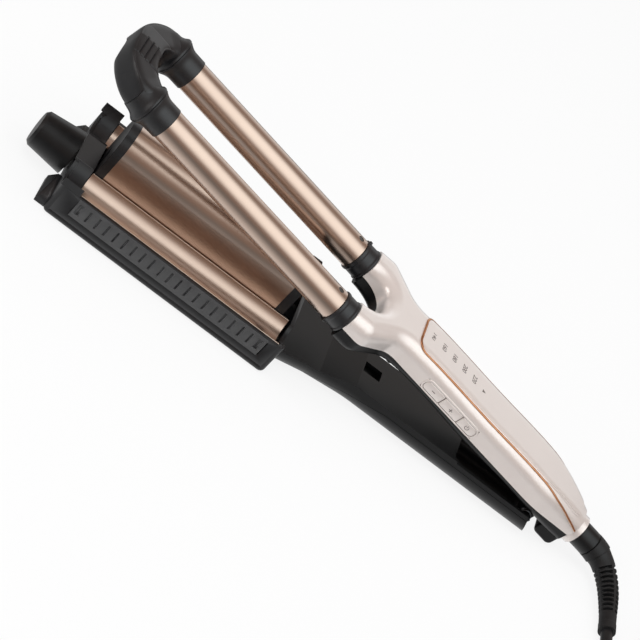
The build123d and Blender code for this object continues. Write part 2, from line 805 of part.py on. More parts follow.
def head_tray():
    """Ribbed pan that holds the troughs, with a nose under the dial."""
    outline = [(0.0, tray_half_width), (tray_front_x, tray_half_width), (tray_front_x, -tray_half_width),
               (0.0, -tray_half_width)]
    pan = prism(outline, [tray_corner] * 4, arm_floor, tray_top)
    pan = fillet(pan.faces().sort_by(Axis.Z)[0].edges(), tray_round)
    pocket = [(tray_wall, tray_inner), (tray_front_x - tray_wall, tray_inner),
              (tray_front_x - tray_wall, -tray_inner), (tray_wall, -tray_inner)]
    pan -= prism(pocket, [tray_corner - tray_wall / 2] * 4, tray_deck, tray_top + 1.0)
    for number in range(rib_count):
        x = rib_first_x + rib_pitch * number
        pan -= wall_groove(x, rib_width, rib_depth)
    for x in end_slot_xs:
        pan -= wall_groove(x, rib_width, end_slot_depth)
    line = block(tray_corner, tray_front_x - tray_corner, tray_half_width - seam_groove, tray_half_width + 1.0,
                 seam_groove_z - seam_groove / 2, seam_groove_z + seam_groove / 2)
    pan -= both_sides(line)
    nose = [(tray_front_x - 0.5, arm_floor + 0.4), (nose_x, arm_floor + 0.4), (nose_x, nose_break_z),
            (nose_step_x, nose_z), (tray_front_x - 0.5, nose_z)]
    pan += both_sides(side_slab(nose, nose_half_gap, tray_half_width - tray_corner))
    closed_z = math.tan(math.radians(jaw_stop)) * -hinge_x
    for y in (-barrel_y, barrel_y):
        pan -= rod(collar_r + collar_gap, -1.0, trough_rear_x, y, closed_z)
        pan -= rod(trough_r, bracket_rear_x - 3.0, nose_x + 1.0, y, trough_axis_z)
        for x in seat_rib_xs:
            rib = block(x, x + seat_rib, y - seat_half_width, y + seat_half_width, tray_deck - 0.5,
                        trough_edge_z - 1.5)
            pan += rib - rod(trough_back_r + play, x - 1.0, x + seat_rib + 1.0, y, trough_axis_z)
        pad_top = trough_axis_z - trough_back_r - core_play - plate_heater_thick - play
        middle = sum(plate_heater_x) / 2
        pan += block(middle - pad_half, middle + pad_half, y - pad_half, y + pad_half, tray_deck - 0.5, pad_top)
    pan += block(tray_wall - 0.5, shaft_rear_x - 1.0 + bearing_len, -bearing_half_width, bearing_half_width,
                 tray_deck - 0.5, shaft_z + shaft_r + 1.5)
    pan -= rod(shaft_r + play, shaft_rear_x - slip, tray_front_x + 1.0, 0.0, shaft_z)
    for x, y in guide_places():
        pan += post(guide_seat_r, x, y, tray_deck - 0.5, tray_deck + guide_seat)
        pan -= post(guide_r + play, x, y, tray_deck, tray_deck + guide_seat + 1.0)
    for y in (-tray_screw_y, tray_screw_y):
        pan -= rod(tray_screw_r + play, -1.0, tray_wall + 1.0, y, tray_screw_z)
    return pan


def wall_groove(x, width, depth):
    """Upright groove in both side walls of the tray."""
    cut = block(x - width / 2, x + width / 2, tray_half_width - depth, tray_half_width + 1.0, rib_bottom, rib_top)
    return both_sides(cut)


def guide_places():
    """Two guide posts at opposite corners of the centre barrel."""
    far_x = lift_rear_x + lift_front_x - guide_x
    return [(guide_x, guide_y), (far_x, -guide_y)]


def tray_screws():
    """Two screws through the tray's rear wall into the arm."""
    head_x = tray_wall + play
    return solids_of(rod(tray_screw_head_r, head_x, head_x + tray_screw_head, y, tray_screw_z)
                     + rod(tray_screw_r, head_x + 0.5, -tray_screw_len + 0.5, y, tray_screw_z)
                     for y in (-tray_screw_y, tray_screw_y))


def guide_posts():
    return solids_of(post(guide_r, x, y, tray_deck, guide_top) for x, y in guide_places())


def trough_plate(y):
    """Shallow heated trough of sheet metal, parallel to the barrels at the level position."""
    sheet = rod(trough_back_r, trough_rear_x, trough_front_x, y, trough_axis_z)
    sheet -= rod(trough_r, trough_rear_x - 1.0, trough_front_x + 1.0, y, trough_axis_z)
    half = trough_half_width + slip
    return sheet & block(trough_rear_x, trough_front_x, y - half, y + half, trough_axis_z - trough_back_r - 1.0,
                         trough_edge_z)


def trough_heater(y):
    """Heating bar clamped under a trough plate."""
    top = trough_axis_z - trough_back_r + 3.0
    low = trough_axis_z - trough_back_r - core_play - plate_heater_thick
    bar = block(plate_heater_x[0], plate_heater_x[1], y - plate_heater_half_width, y + plate_heater_half_width,
                low, top)
    return bar - rod(trough_back_r + core_play, plate_heater_x[0] - 1.0, plate_heater_x[1] + 1.0, y, trough_axis_z)


def front_bracket():
    """Black cross-piece that closes the troughs and carries the dial's shaft."""
    front = tray_front_x - tray_wall - play
    side = tray_inner - play
    corner = tray_corner - tray_wall / 2
    within = prism([(bracket_rear_x, side), (front, side), (front, -side), (bracket_rear_x, -side)],
                   [0.0, corner, corner, 0.0], bracket_bottom_z, tray_top + 0.5)
    cap = end_slab([(-tray_half_width, tray_top + 0.05), (-tray_half_width, bracket_rim_z),
                    (-barrel_y, bracket_rim_z), (-bracket_ridge_half, trough_edge_z + 1.2),
                    (bracket_ridge_half, trough_edge_z + 1.2), (barrel_y, bracket_rim_z),
                    (tray_half_width, bracket_rim_z), (tray_half_width, tray_top + 0.05)],
                   bracket_rear_x, bracket_front_x)
    body = within + cap
    for y in (-barrel_y, barrel_y):
        body -= rod(trough_r, bracket_rear_x - 1.0, bracket_front_x + 1.0, y, trough_axis_z)
    body -= rod(clip_r + slip, bracket_rear_x - 1.0, bracket_rear_x + clip_thick + 2 * slip, 0.0, shaft_z)
    return body - rod(shaft_r + play, bracket_rear_x - 1.0, bracket_front_x + 1.0, 0.0, shaft_z)


# ---- Centre barrel and lift ---------------------------------------------------------------

def stadium(half, x0, x1, low):
    """Bar along X with a round top and flat sides."""
    return rod(half, x0, x1, 0.0, lift_axis_z) + block(x0, x1, -half, half, low, lift_axis_z)


def centre_barrel():
    shell = stadium(lift_half_width, lift_rear_x, lift_front_x, lift_skirt_z)
    inner = stadium(lift_half_width - lift_wall, lift_rear_x - 1.0, lift_front_x + 1.0, lift_skirt_z - 1.0)
    return shell - inner


def ring_cap(x, inward):
    """Black end of the centre barrel, slotted for the shaft, with a rim inside the shell."""
    outer_end = x - ring_len * inward
    body = stadium(lift_half_width + ring_extra, outer_end, x, lift_skirt_z)
    rim = stadium(lift_half_width - lift_wall - play, x, x + ring_foot * inward, lift_skirt_z)
    body += rim - stadium(lift_half_width - 2.5 * lift_wall, x - 1.0 * inward, x + (ring_foot + 1.0) * inward,
                          lift_skirt_z - 1.0)
    slot_half = shaft_r + slip
    body -= block(outer_end - inward, x + (ring_foot + 1.0) * inward, -slot_half, slot_half, lift_skirt_z - 1.0,
                  shaft_z + shaft_r + lift_travel + slip)
    return body


def lift_frame():
    """Cross-plate under the centre heater, with guide sleeves and two pairs of ramp feet."""
    frame = block(lift_rear_x + play, lift_front_x - play, -frame_half_width, frame_half_width, frame_z,
                  frame_top_z)
    for x, y in guide_places():
        frame += post(guide_sleeve_r, x, y, guide_top - 4.5, frame_top_z)
        frame -= post(guide_r + play, x, y, guide_top - 5.5, frame_top_z + 1.0)
    inner = shaft_r + slip
    for x in foot_xs:
        low = wedge_top_z + lift_travel + wedge_gap
        foot = [(x, low), (x + foot_len, low + foot_len), (x + foot_len, frame_z + 0.5), (x, frame_z + 0.5)]
        frame += both_sides(side_slab(foot, inner, wedge_half_width))
    return frame


def centre_heater():
    """Heating bar between the lift frame and the top of the centre barrel."""
    half = frame_half_width - 1.0
    return block(lift_rear_x + ring_foot + 1.0, lift_front_x - ring_foot - 1.0, -half, half,
                 frame_top_z + play, frame_top_z + play + centre_heater_thick)


def wedge_bar():
    """Carriage on the shaft: base plate, nut and two pairs of 45 degree ramps."""
    start = foot_xs[0] - lift_travel - 1.0
    end = foot_xs[1] + foot_len + 1.0
    bar = block(start, end, -wedge_half_width, wedge_half_width, wedge_base_z, wedge_top_z)
    bar += block(nut_x, nut_x + nut_len, -wedge_half_width, wedge_half_width, wedge_top_z - 0.5, nut_top)
    inner = shaft_r + slip
    for x in foot_xs:
        foot_line = x - lift_travel
        ramp = [(foot_line, wedge_top_z - 0.2), (x + foot_len, wedge_top_z - 0.2),
                (x + foot_len, wedge_top_z + lift_travel + foot_len), (foot_line, wedge_top_z)]
        bar += both_sides(side_slab(ramp, inner, wedge_half_width))
    return bar - rod(shaft_r + play, start - 1.0, end + 1.0, 0.0, shaft_z)


# ---- Dial ---------------------------------------------------------------------------------

def dial():
    """Tapered knob with a chamfered front edge, bored for the shaft."""
    outline = Polyline((dial_base_x, 0, 0), (dial_base_x, 0, dial_base_r),
                       (dial_tip_x - dial_chamfer, 0, dial_tip_r), (dial_tip_x, 0, dial_tip_r - dial_chamfer),
                       (dial_tip_x, 0, 0), close=True)
    knob = Pos(0, 0, shaft_z) * revolve(make_face(outline), Axis.X)
    return knob - rod(shaft_r, dial_base_x - 1.0, dial_base_x + dial_bore_depth, 0.0, shaft_z)


def dial_shaft():
    """Long quick-thread shaft from the rear bearing through the nut to the dial."""
    return rod(shaft_r, shaft_rear_x, dial_base_x + dial_bore_depth, 0.0, shaft_z)


def shaft_clip():
    """Ring that keeps the shaft from pulling out of the bracket."""
    ring = rod(clip_r, bracket_rear_x + slip, bracket_rear_x + slip + clip_thick, 0.0, shaft_z)
    return ring - rod(shaft_r, bracket_rear_x - 1.0, bracket_rear_x + 3.0, 0.0, shaft_z)


def friction_washer():
    """Felt ring between the tray and the dial."""
    ring = rod(washer_r, bracket_front_x + play, dial_base_x - play, 0.0, shaft_z)
    return ring - rod(shaft_r + slip, tray_front_x - 1.0, dial_base_x + 1.0, 0.0, shaft_z)


# ---- Cord ---------------------------------------------------------------------------------

def route_radii(points):
    """Arc radius at each inner point of a route, as large as its two runs allow."""
    radii = []
    for before, here, after in zip(points, points[1:], points[2:]):
        arriving = Vector(*here) - Vector(*before)
        leaving = Vector(*after) - Vector(*here)
        half_turn = math.radians(arriving.get_angle(leaving) / 2)
        radii.append(0.45 * min(arriving.length, leaving.length) / math.tan(half_turn))
    return radii


def route_path(points):
    return FilletPolyline(*points, radius=route_radii(points))


def on_table(points):
    """Route points with their heights above the table turned into Z."""
    return [(x, y, arm_floor + height) for x, y, height in points]


def tube(edges, radius):
    """Round bar along joined edges."""
    wire = Wire(edges)
    section = Plane(origin=wire @ 0, z_dir=wire % 0) * Circle(radius)
    return sweep(section, path=wire)


def cord_tube(name, points):
    placed = on_table(points)
    path = route_path(placed)
    solid = tube(path.edges(), cord_r)
    radii = ", ".join(str(round(radius)) for radius in route_radii(placed))
    expected = math.pi * cord_r ** 2 * path.length
    print(name, "bend radii", radii, "mm, volume over section times length", round(solid.volume / expected, 4))
    return solid


def relief_points():
    """The strain relief leaves along the handle's axis and then bends to the table."""
    places = []
    for x in (relief_start_x, relief_start_x - relief_straight):
        placed = opened(Pos(x, 0.0, 0.0) * Box(1.0, 1.0, 1.0)).center()
        places.append((placed.X, placed.Y, placed.Z))
    return places + on_table(relief_route)


def strain_relief():
    """Stepped rubber sleeve, thinner towards the cord."""
    points = relief_points()
    edges = list(route_path(points).edges())
    body = tube(edges[:3], relief_base_r) + tube(edges[2:5], relief_mid_r) + tube(edges[4:], relief_tip_r)
    return body


def cord_coil():
    """Outer shape of the wound cord, with a straight lead-in and a channel where the tail rises out of it."""
    ring = post(coil_mid_r + coil_half_band, coil_x, coil_y, arm_floor, arm_floor + coil_height)
    ring -= post(coil_mid_r - coil_half_band, coil_x, coil_y, arm_floor - 1.0, arm_floor + coil_height + 1.0)
    reach = coil_mid_r + coil_half_band - cord_r
    ring += rod(cord_r, coil_x, coil_x + coil_tail, coil_y + reach, arm_floor + cord_route[-1][2])
    return ring - tube(route_path(on_table(tail_route)).edges(), cord_r)


def plug_place():
    """Cable entry of the plug, facing along the cord's last run."""
    before = tail_route[-2]
    here = tail_route[-1]
    turn = math.degrees(math.atan2(here[1] - before[1], here[0] - before[0]))
    return Pos(here[0], here[1], arm_floor + here[2]) * Rot(0, 0, turn)


def plug_body():
    """Flat two-pin plug, widening from the cable to the pin face."""
    half = plug_height / 2
    outline = [(0.0, plug_neck), (plug_len - plug_face_len, plug_width / 2), (plug_len, plug_width / 2),
               (plug_len, -plug_width / 2), (plug_len - plug_face_len, -plug_width / 2), (0.0, -plug_neck)]
    body = prism(outline, [2.0, 6.0, 1.5, 1.5, 6.0, 2.0], -half, half)
    rims = body.faces().sort_by(Axis.Z)[0].edges() + body.faces().sort_by(Axis.Z)[-1].edges()
    return plug_place() * fillet(rims, 2.0)


def plug_pins():
    place = plug_place()
    half = plug_pin_pitch / 2
    return solids_of(place * rod(plug_pin_r, plug_len, plug_len + plug_pin_len, y) for y in (-half, half))


# ---- Setting down -------------------------------------------------------------------------

def opened(part):
    """Turn a piece of the handle side from the level position to the open rest position."""
    return Pos(hinge_x, 0, hinge_z) * Rot(0, -jaw_open, 0) * Pos(-hinge_x, 0, -hinge_z) * part


def handle_side():
    outer = handle_form(0.0, parting_z)
    pieces = {
        "handle_top_shell": handle_top_shell(outer),
        "handle_under_shell": handle_under_shell(),
        "top_panel": top_panel(outer),
        "panel_trim": panel_trim(outer),
        "light_guides": light_guides(),
        "indicator_leds": indicator_leds(),
        "control_board": control_board(),
        "tact_switches": tact_switches(),
        "shell_screws": shell_screws(),
        "barrel_screws": barrel_screws(),
        "cool_tip": cool_tip(),
        "end_ring": end_ring(),
        "swivel_socket": swivel_socket(),
        "swivel_stub": swivel_stub(),
    }
    for side, y in (("left", barrel_y), ("right", -barrel_y)):
        pieces["barrel_" + side] = round_barrel(y)
        pieces["barrel_core_" + side] = barrel_core(y)
        pieces["barrel_strip_" + side] = barrel_strip(y)
        pieces["collar_" + side] = collar(y)
    for name, span in zip(button_names, button_spans()):
        pieces[name] = side_button(*span)
    return pieces


def arm_side():
    covers = arm_shell()
    pieces = {
        "arm_cover_upper": arm_cover_upper(covers),
        "arm_cover_lower": arm_cover_lower(covers),
        "arm_screws": arm_screws(),
        "hinge_pin": hinge_pin(),
        "hinge_spring": hinge_spring(),
        "head_tray": head_tray(),
        "tray_screws": tray_screws(),
        "guide_posts": guide_posts(),
        "front_bracket": front_bracket(),
        "friction_washer": friction_washer(),
        "centre_barrel": centre_barrel(),
        "centre_ring_rear": ring_cap(lift_rear_x, 1),
        "centre_ring_front": ring_cap(lift_front_x, -1),
        "lift_frame": lift_frame(),
        "centre_heater": centre_heater(),
        "wedge_bar": wedge_bar(),
        "dial": dial(),
        "dial_shaft": dial_shaft(),
        "shaft_clip": shaft_clip(),
    }
    for side, y in (("left", barrel_y), ("right", -barrel_y)):
        pieces["trough_" + side] = trough_plate(y)
        pieces["trough_heater_" + side] = trough_heater(y)
    return pieces


def cord_side():
    return {
        "strain_relief": strain_relief(),
        "cord": cord_tube("cord", cord_route),
        "cord_coil": cord_coil(),
        "cord_tail": cord_tube("cord_tail", tail_route),
        "plug_body": plug_body(),
        "plug_pins": plug_pins(),
    }


def set_down(pieces, object_names):
    """Move everything so that the object's box stands on the origin, centred."""
    boxes = [pieces[name].bounding_box() for name in object_names]
    middle_x = (min(box.min.X for box in boxes) + max(box.max.X for box in boxes)) / 2
    middle_y = (min(box.min.Y for box in boxes) + max(box.max.Y for box in boxes)) / 2
    print("shift to the origin", round(-middle_x, 4), round(-middle_y, 4), -arm_floor)
    return {name: Pos(-middle_x, -middle_y, -arm_floor) * piece for name, piece in pieces.items()}


def main():
    raised = {name: opened(piece) for name, piece in handle_side().items()}
    level = arm_side()
    corded = cord_side()
    pieces = {**raised, **level, **corded}
    placed = set_down(pieces, list(raised) + list(level))
    os.makedirs("parts", exist_ok=True)
    for name, piece in placed.items():
        export_step(piece, "parts/" + name + ".step")
    print(len(placed), "nodes")


main()
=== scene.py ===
import math
import bmesh
import bpy
import numpy as np
from mathutils import Matrix, Vector


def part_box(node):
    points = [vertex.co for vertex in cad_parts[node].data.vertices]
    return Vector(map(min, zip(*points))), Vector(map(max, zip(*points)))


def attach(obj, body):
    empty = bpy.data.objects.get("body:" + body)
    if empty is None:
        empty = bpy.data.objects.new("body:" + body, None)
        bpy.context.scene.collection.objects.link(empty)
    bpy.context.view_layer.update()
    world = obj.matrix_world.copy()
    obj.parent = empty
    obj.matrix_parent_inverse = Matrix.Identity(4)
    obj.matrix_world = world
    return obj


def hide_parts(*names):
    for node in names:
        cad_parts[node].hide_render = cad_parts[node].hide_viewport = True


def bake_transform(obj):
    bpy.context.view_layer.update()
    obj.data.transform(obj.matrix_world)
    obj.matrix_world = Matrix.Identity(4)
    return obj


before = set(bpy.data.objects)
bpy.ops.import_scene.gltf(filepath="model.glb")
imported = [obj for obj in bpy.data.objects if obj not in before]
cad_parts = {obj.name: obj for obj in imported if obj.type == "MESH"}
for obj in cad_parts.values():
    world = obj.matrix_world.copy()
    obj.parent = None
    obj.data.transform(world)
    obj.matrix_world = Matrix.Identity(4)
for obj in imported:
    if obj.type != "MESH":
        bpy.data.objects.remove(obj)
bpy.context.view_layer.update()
print("hair waver: frame loaded")

# Places are given in millimetres along the handle or along the lower arm, and turned to metres here.
# Both arms share one hinge pin: x forward, y to the button side, z up, z = 0 on the barrel axes.
hinge = {"x": -152.0, "z": -9.0, "open": 11.6}
pinLow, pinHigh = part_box("hinge_pin")
hingeSpot = np.array([hinge["x"], 0.0, hinge["z"]])
shift = np.array((pinLow + pinHigh) / 2) - hingeSpot / 1000
tilt = math.radians(hinge["open"])
turn = np.array([[math.cos(tilt), 0, -math.sin(tilt)], [0, 1, 0], [math.sin(tilt), 0, math.cos(tilt)]])


# Lower arm millimetres to metres: p / 1000 + shift.
def onArm(points):
    return np.asarray(points, float) / 1000 + shift


# Handle millimetres to metres: the arm's frame turned by the jaw's opening about the pin.
def onHandle(points):
    return onArm((np.asarray(points, float) - hingeSpot) @ turn.T + hingeSpot)


# Plan places of the arm with the height above the table, to metres.
def onTable(points):
    points = np.asarray(points, float)
    placed = onArm(points)
    placed[..., 2] = points[..., 2] / 1000
    return placed


# Points that are in metres already.
def asMade(points):
    return points


# Links a new object with this mesh, lamp or camera to the scene.
def addObject(name, data):
    piece = bpy.data.objects.new(name, data)
    bpy.context.scene.collection.objects.link(piece)
    return piece


# Matrix whose columns are the right, up and back axes and the place.
def placedMatrix(axes, place):
    world = Matrix.Identity(4)
    for row in range(3):
        for column in range(3):
            world[row][column] = axes[column][row]
        world[row][3] = place[row]
    return world


view = {
    "lens": 188.32, "sensor": 36,  # 3348 pixels of a 640 pixel frame on a 36 mm sensor
    "far": 20,
    "turn": (0.836, 1.033, 2.208),  # rotation vector, handle frame to camera
    "shift": (12.141, 20.059, -1624.9),
}


# Rodrigues: R = I + sin(a) K + (1 - cos(a)) K K for the unit axis K and the angle a.
def rotationMatrix(vector):
    vector = np.array(vector, float)
    angle = np.linalg.norm(vector)
    x, y, z = vector / angle
    cross = np.array([[0, -z, y], [z, 0, -x], [-y, x, 0]])
    return np.eye(3) + math.sin(angle) * cross + (1 - math.cos(angle)) * cross @ cross


# Camera at -R^T t of the handle's frame, its axes turned on into the arm's frame.
def makeCamera():
    look = rotationMatrix(view["turn"])
    place = onHandle(-look.T @ np.array(view["shift"]))
    camera = addObject("camera", bpy.data.cameras.new("camera"))
    camera.data.sensor_width = view["sensor"]
    camera.data.lens = view["lens"]
    camera.data.clip_end = view["far"]
    camera.matrix_world = placedMatrix(look @ turn.T, place)
    bpy.context.scene.camera = camera


makeCamera()
print("hair waver: camera placed")


# Quads of a grid of rows x columns points; wrap joins the last column to the first.
def gridFaces(rows, columns, wrap=True, first=0):
    row = np.arange(rows - 1)[:, None]
    column = np.arange(columns if wrap else columns - 1)[None, :]
    beside = (column + 1) % columns
    quads = np.stack([row * columns + column, row * columns + beside,
                      (row + 1) * columns + beside, (row + 1) * columns + column], -1)
    return (quads.reshape(-1, 4) + first).tolist()


# Triangles from a ring of point numbers to one pole.
def fanFaces(ring, pole, flip):
    beside = np.roll(ring, -1)
    middle = np.full_like(ring, pole)
    order = (beside, ring, middle) if flip else (ring, beside, middle)
    return np.stack(order, -1).tolist()


# Points and faces of a tube from its rings (n, m, 3), with a pole at the middle of each end ring.
def closedTube(rings):
    count, around = rings.shape[:2]
    points = np.concatenate([rings.reshape(-1, 3), rings[0].mean(0)[None], rings[-1].mean(0)[None]])
    faces = gridFaces(count, around)
    faces += fanFaces(np.arange(around), count * around, True)
    faces += fanFaces(np.arange(around) + (count - 1) * around, count * around + 1, False)
    return points, faces


# Points and faces of a bent sheet: its rings go out on one face and back on the other, its ends are strips.
def sheetTube(rings):
    count, around = rings.shape[:2]
    faces = gridFaces(count, around)
    for first in (0, (count - 1) * around):
        last = first + around - 1
        faces += [[first + i, first + i + 1, last - i - 1, last - i] for i in range(around // 2 - 1)]
    return rings.reshape(-1, 3), faces


# Points and faces of a tube whose last ring joins its first.
def loopedTube(rings):
    count, around = rings.shape[:2]
    faces = np.array(gridFaces(count + 1, around)) % (count * around)
    return rings.reshape(-1, 3), faces.tolist()


# Vectors divided by their own lengths.
def unit(vectors):
    return vectors / np.linalg.norm(vectors, axis=-1, keepdims=True)


# 3t^2 - 2t^3, held at 0 and 1 outside.
def smooth(t):
    t = np.clip(t, 0, 1)
    return t * t * (3 - 2 * t)


# Radius of a superellipse at each angle: (|cos|^p + |sin|^p)^(-1 / p).
def superellipse(angle, power):
    return (np.abs(np.cos(angle)) ** power + np.abs(np.sin(angle)) ** power) ** (-1 / power)


# Rings along a path: p + out * side + up * top, side = over x tangent, top = tangent x side.
def sweep(path, out, up, over=(0, 0, 1)):
    tangent = unit(np.gradient(path, axis=0))
    side = unit(np.cross(np.array(over, float), tangent))
    top = np.cross(tangent, side)
    return path[:, None] + out[..., None] * side[:, None] + up[..., None] * top[:, None]


# Even angles of one full turn, the last short of the first.
def ringAngles(count):
    return np.linspace(0, 2 * math.pi, count, endpoint=False)


# Rings of an oval section along a path: half * cos to the side, rise * sin upward.
def ovalSweep(path, half, rise, around, over=(0, 0, 1)):
    angle = ringAngles(around)[None, :] + 0 * path[:, :1]
    return sweep(path, half * np.cos(angle), rise * np.sin(angle), over)


# The same line cut into even steps, by length along it.
def evenPath(points, step):
    run = np.concatenate([[0], np.cumsum(np.linalg.norm(np.diff(points, axis=0), axis=1))])
    count = max(int(round(run[-1] / step)), 2)
    spots = np.linspace(0, run[-1], count + 1)
    return np.stack([np.interp(spots, run, points[:, axis]) for axis in range(3)], -1), spots


# Profile with its corners cut round: a quadratic Bezier over each corner (x, r, cut).
def roundedProfile(corners, steps=5):
    corners = np.array(corners, float)
    spots = corners[:, :2]
    before = unit(spots[:-2] - spots[1:-1])
    after = unit(spots[2:] - spots[1:-1])
    cut = corners[1:-1, 2:]
    start, end = spots[1:-1] + before * cut, spots[1:-1] + after * cut
    t = np.linspace(0, 1, steps)[None, :, None]
    bend = (1 - t) ** 2 * start[:, None] + 2 * t * (1 - t) * spots[1:-1, None] + t ** 2 * end[:, None]
    return np.concatenate([spots[:1], bend.reshape(-1, 2), spots[-1:]])


# Round piece: the rounded profile (x, r) turned about an axis along X through centre (y, z).
def turnedBlock(corners, centre, around=72):
    profile = roundedProfile(corners)
    angle = ringAngles(around)[None, :]
    x = np.repeat(profile[:, :1], around, 1)
    y = centre[0] + profile[:, 1:] * np.cos(angle)
    z = centre[1] + profile[:, 1:] * np.sin(angle)
    return closedTube(np.stack([x, y, z], -1)[:, ::-1])


# One mesh object from blocks of points and faces, placed in metres by the frame that they are drawn in.
def makePiece(name, blocks, place, sharp=32):
    points, faces, first = [], [], 0
    for blockPoints, blockFaces in blocks:
        points.append(place(blockPoints))
        faces += [[number + first for number in face] for face in blockFaces]
        first += len(blockPoints)
    mesh = bpy.data.meshes.new(name)
    mesh.from_pydata(np.concatenate(points).tolist(), [], faces)
    mesh.validate()
    mesh.shade_smooth()
    mesh.set_sharp_from_angle(angle=math.radians(sharp))
    return addObject(name, mesh)


# All faces turned outward.
def fixNormals(piece):
    work = bmesh.new()
    work.from_mesh(piece.data)
    bmesh.ops.recalc_face_normals(work, faces=work.faces)
    work.to_mesh(piece.data)
    work.free()


# A mesh's points as rows of x, y, z.
def meshPoints(mesh):
    flat = np.zeros(len(mesh.vertices) * 3)
    mesh.vertices.foreach_get("co", flat)
    return flat.reshape(-1, 3)


# Gives a piece its finish, its body and the nodes that it takes the place of; the slot argument is not used.
def finishPiece(piece, body, material, slot, *nodes):
    piece.data.materials.clear()
    piece.data.materials.append(materials[material])
    if body:
        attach(piece, body)
    if nodes:
        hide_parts(*nodes)
    return piece


# A new piece with a node's own shape, its loose triangles merged.
def copyNode(node, name):
    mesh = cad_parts[node].data.copy()
    work = bmesh.new()
    work.from_mesh(mesh)
    bmesh.ops.remove_doubles(work, verts=work.verts, dist=0.000002)
    work.to_mesh(mesh)
    work.free()
    mesh.shade_smooth()
    mesh.set_sharp_from_angle(angle=math.radians(30))
    return addObject(name, mesh)


# sRGB hex to linear: p / 12.92 below 0.04045, ((p + 0.055) / 1.055)^2.4 above.
def colour(code):
    parts = [int(code[i:i + 2], 16) / 255 for i in (1, 3, 5)]
    return tuple([p / 12.92 if p <= 0.04045 else ((p + 0.055) / 1.055) ** 2.4 for p in parts] + [1.0])


# Adds a node, sets its fields or sockets (a number names the socket by its place), and joins its sockets to
# others': i6 is the seventh socket, and _ stands for a space.
def addNode(tree, kind, settings=None, **links):
    node = tree.nodes.new("ShaderNode" + kind)
    for key, value in (settings or {}).items():
        if hasattr(node, key):
            setattr(node, key, value)
        else:
            node.inputs[int(key) if key.isdigit() else key].default_value = value
    for key, source in links.items():
        spot = key.replace("_", " ")
        tree.links.new(source, node.inputs[int(spot[1:]) if spot[1:].isdigit() else spot])
    return node


# An empty node material.
def newMaterial(name):
    material = bpy.data.materials.new(name)
    material.use_nodes = True
    material.node_tree.nodes.clear()
    return material, material.node_tree


# What all finishes share: the noises' detail, the span of a cloud and of a fleck in them, the edge's reach.
pattern = {
    "cloud": {"Detail": 3.0, "Roughness": 0.6}, "cloudSpan": {"From Min": 0.35, "From Max": 0.65},
    "grain": {"Detail": 2.0, "Roughness": 0.5}, "fleckSpan": {"From Min": 0.62, "From Max": 0.75},
    "edgeBlend": 0.35,
}


# A surface with its own grain: a colour that clouds over to a second one, flecks at the grain's peaks, a tint
# where the face turns away, a bump a quarter of a grain high, roughness = middle +- wander by the cloud.
def makeFinish(name, look):
    material, tree = newMaterial(name)
    place = addNode(tree, "TexCoord").outputs["Object"]
    cloud, grain = [addNode(tree, "TexNoise", {"Scale": 1000 / look[kind + "Mm"], **pattern[kind]},
                            Vector=place).outputs["Fac"] for kind in ("cloud", "grain")]
    share = addNode(tree, "MapRange", pattern["cloudSpan"], Value=cloud).outputs[0]
    tint = addNode(tree, "Mix", {"data_type": "RGBA", "6": colour(look["colour"]),
                   "7": colour(look["second"])}, i0=share).outputs[2]
    if "fleck" in look:
        spark = addNode(tree, "MapRange", {**pattern["fleckSpan"], "To Max": look["fleckShare"]},
                        Value=grain).outputs[0]
        tint = addNode(tree, "Mix", {"data_type": "RGBA", "7": colour(look["fleck"])},
                       i0=spark, i6=tint).outputs[2]
    if "edge" in look:
        slant = addNode(tree, "LayerWeight", {"Blend": pattern["edgeBlend"]}).outputs["Facing"]
        tint = addNode(tree, "Mix", {"data_type": "RGBA", "7": colour(look["edge"])},
                       i0=slant, i6=tint).outputs[2]
    rough = addNode(tree, "MapRange", {"To Min": look["roughness"] - look["wander"],
                    "To Max": look["roughness"] + look["wander"]}, Value=cloud).outputs[0]
    bump = addNode(tree, "Bump", {"Strength": look["bump"], "Distance": look["grainMm"] / 4000},
                   Height=grain).outputs["Normal"]
    shader = addNode(tree, "BsdfPrincipled", {
        "Metallic": look.get("metallic", 0.0), "Coat Weight": look.get("coat", 0.0),
        "Coat Roughness": look.get("coatRoughness", 0.05), "Transmission Weight": look.get("clear", 0.0),
        "Sheen Weight": look.get("sheen", 0.0), "Specular IOR Level": look.get("specular", 0.5)},
        Base_Color=tint, Roughness=rough, Normal=bump)
    if "ior" in look:
        shader.inputs["IOR"].default_value = look["ior"]
    addNode(tree, "OutputMaterial", Surface=shader.outputs["BSDF"])
    return material


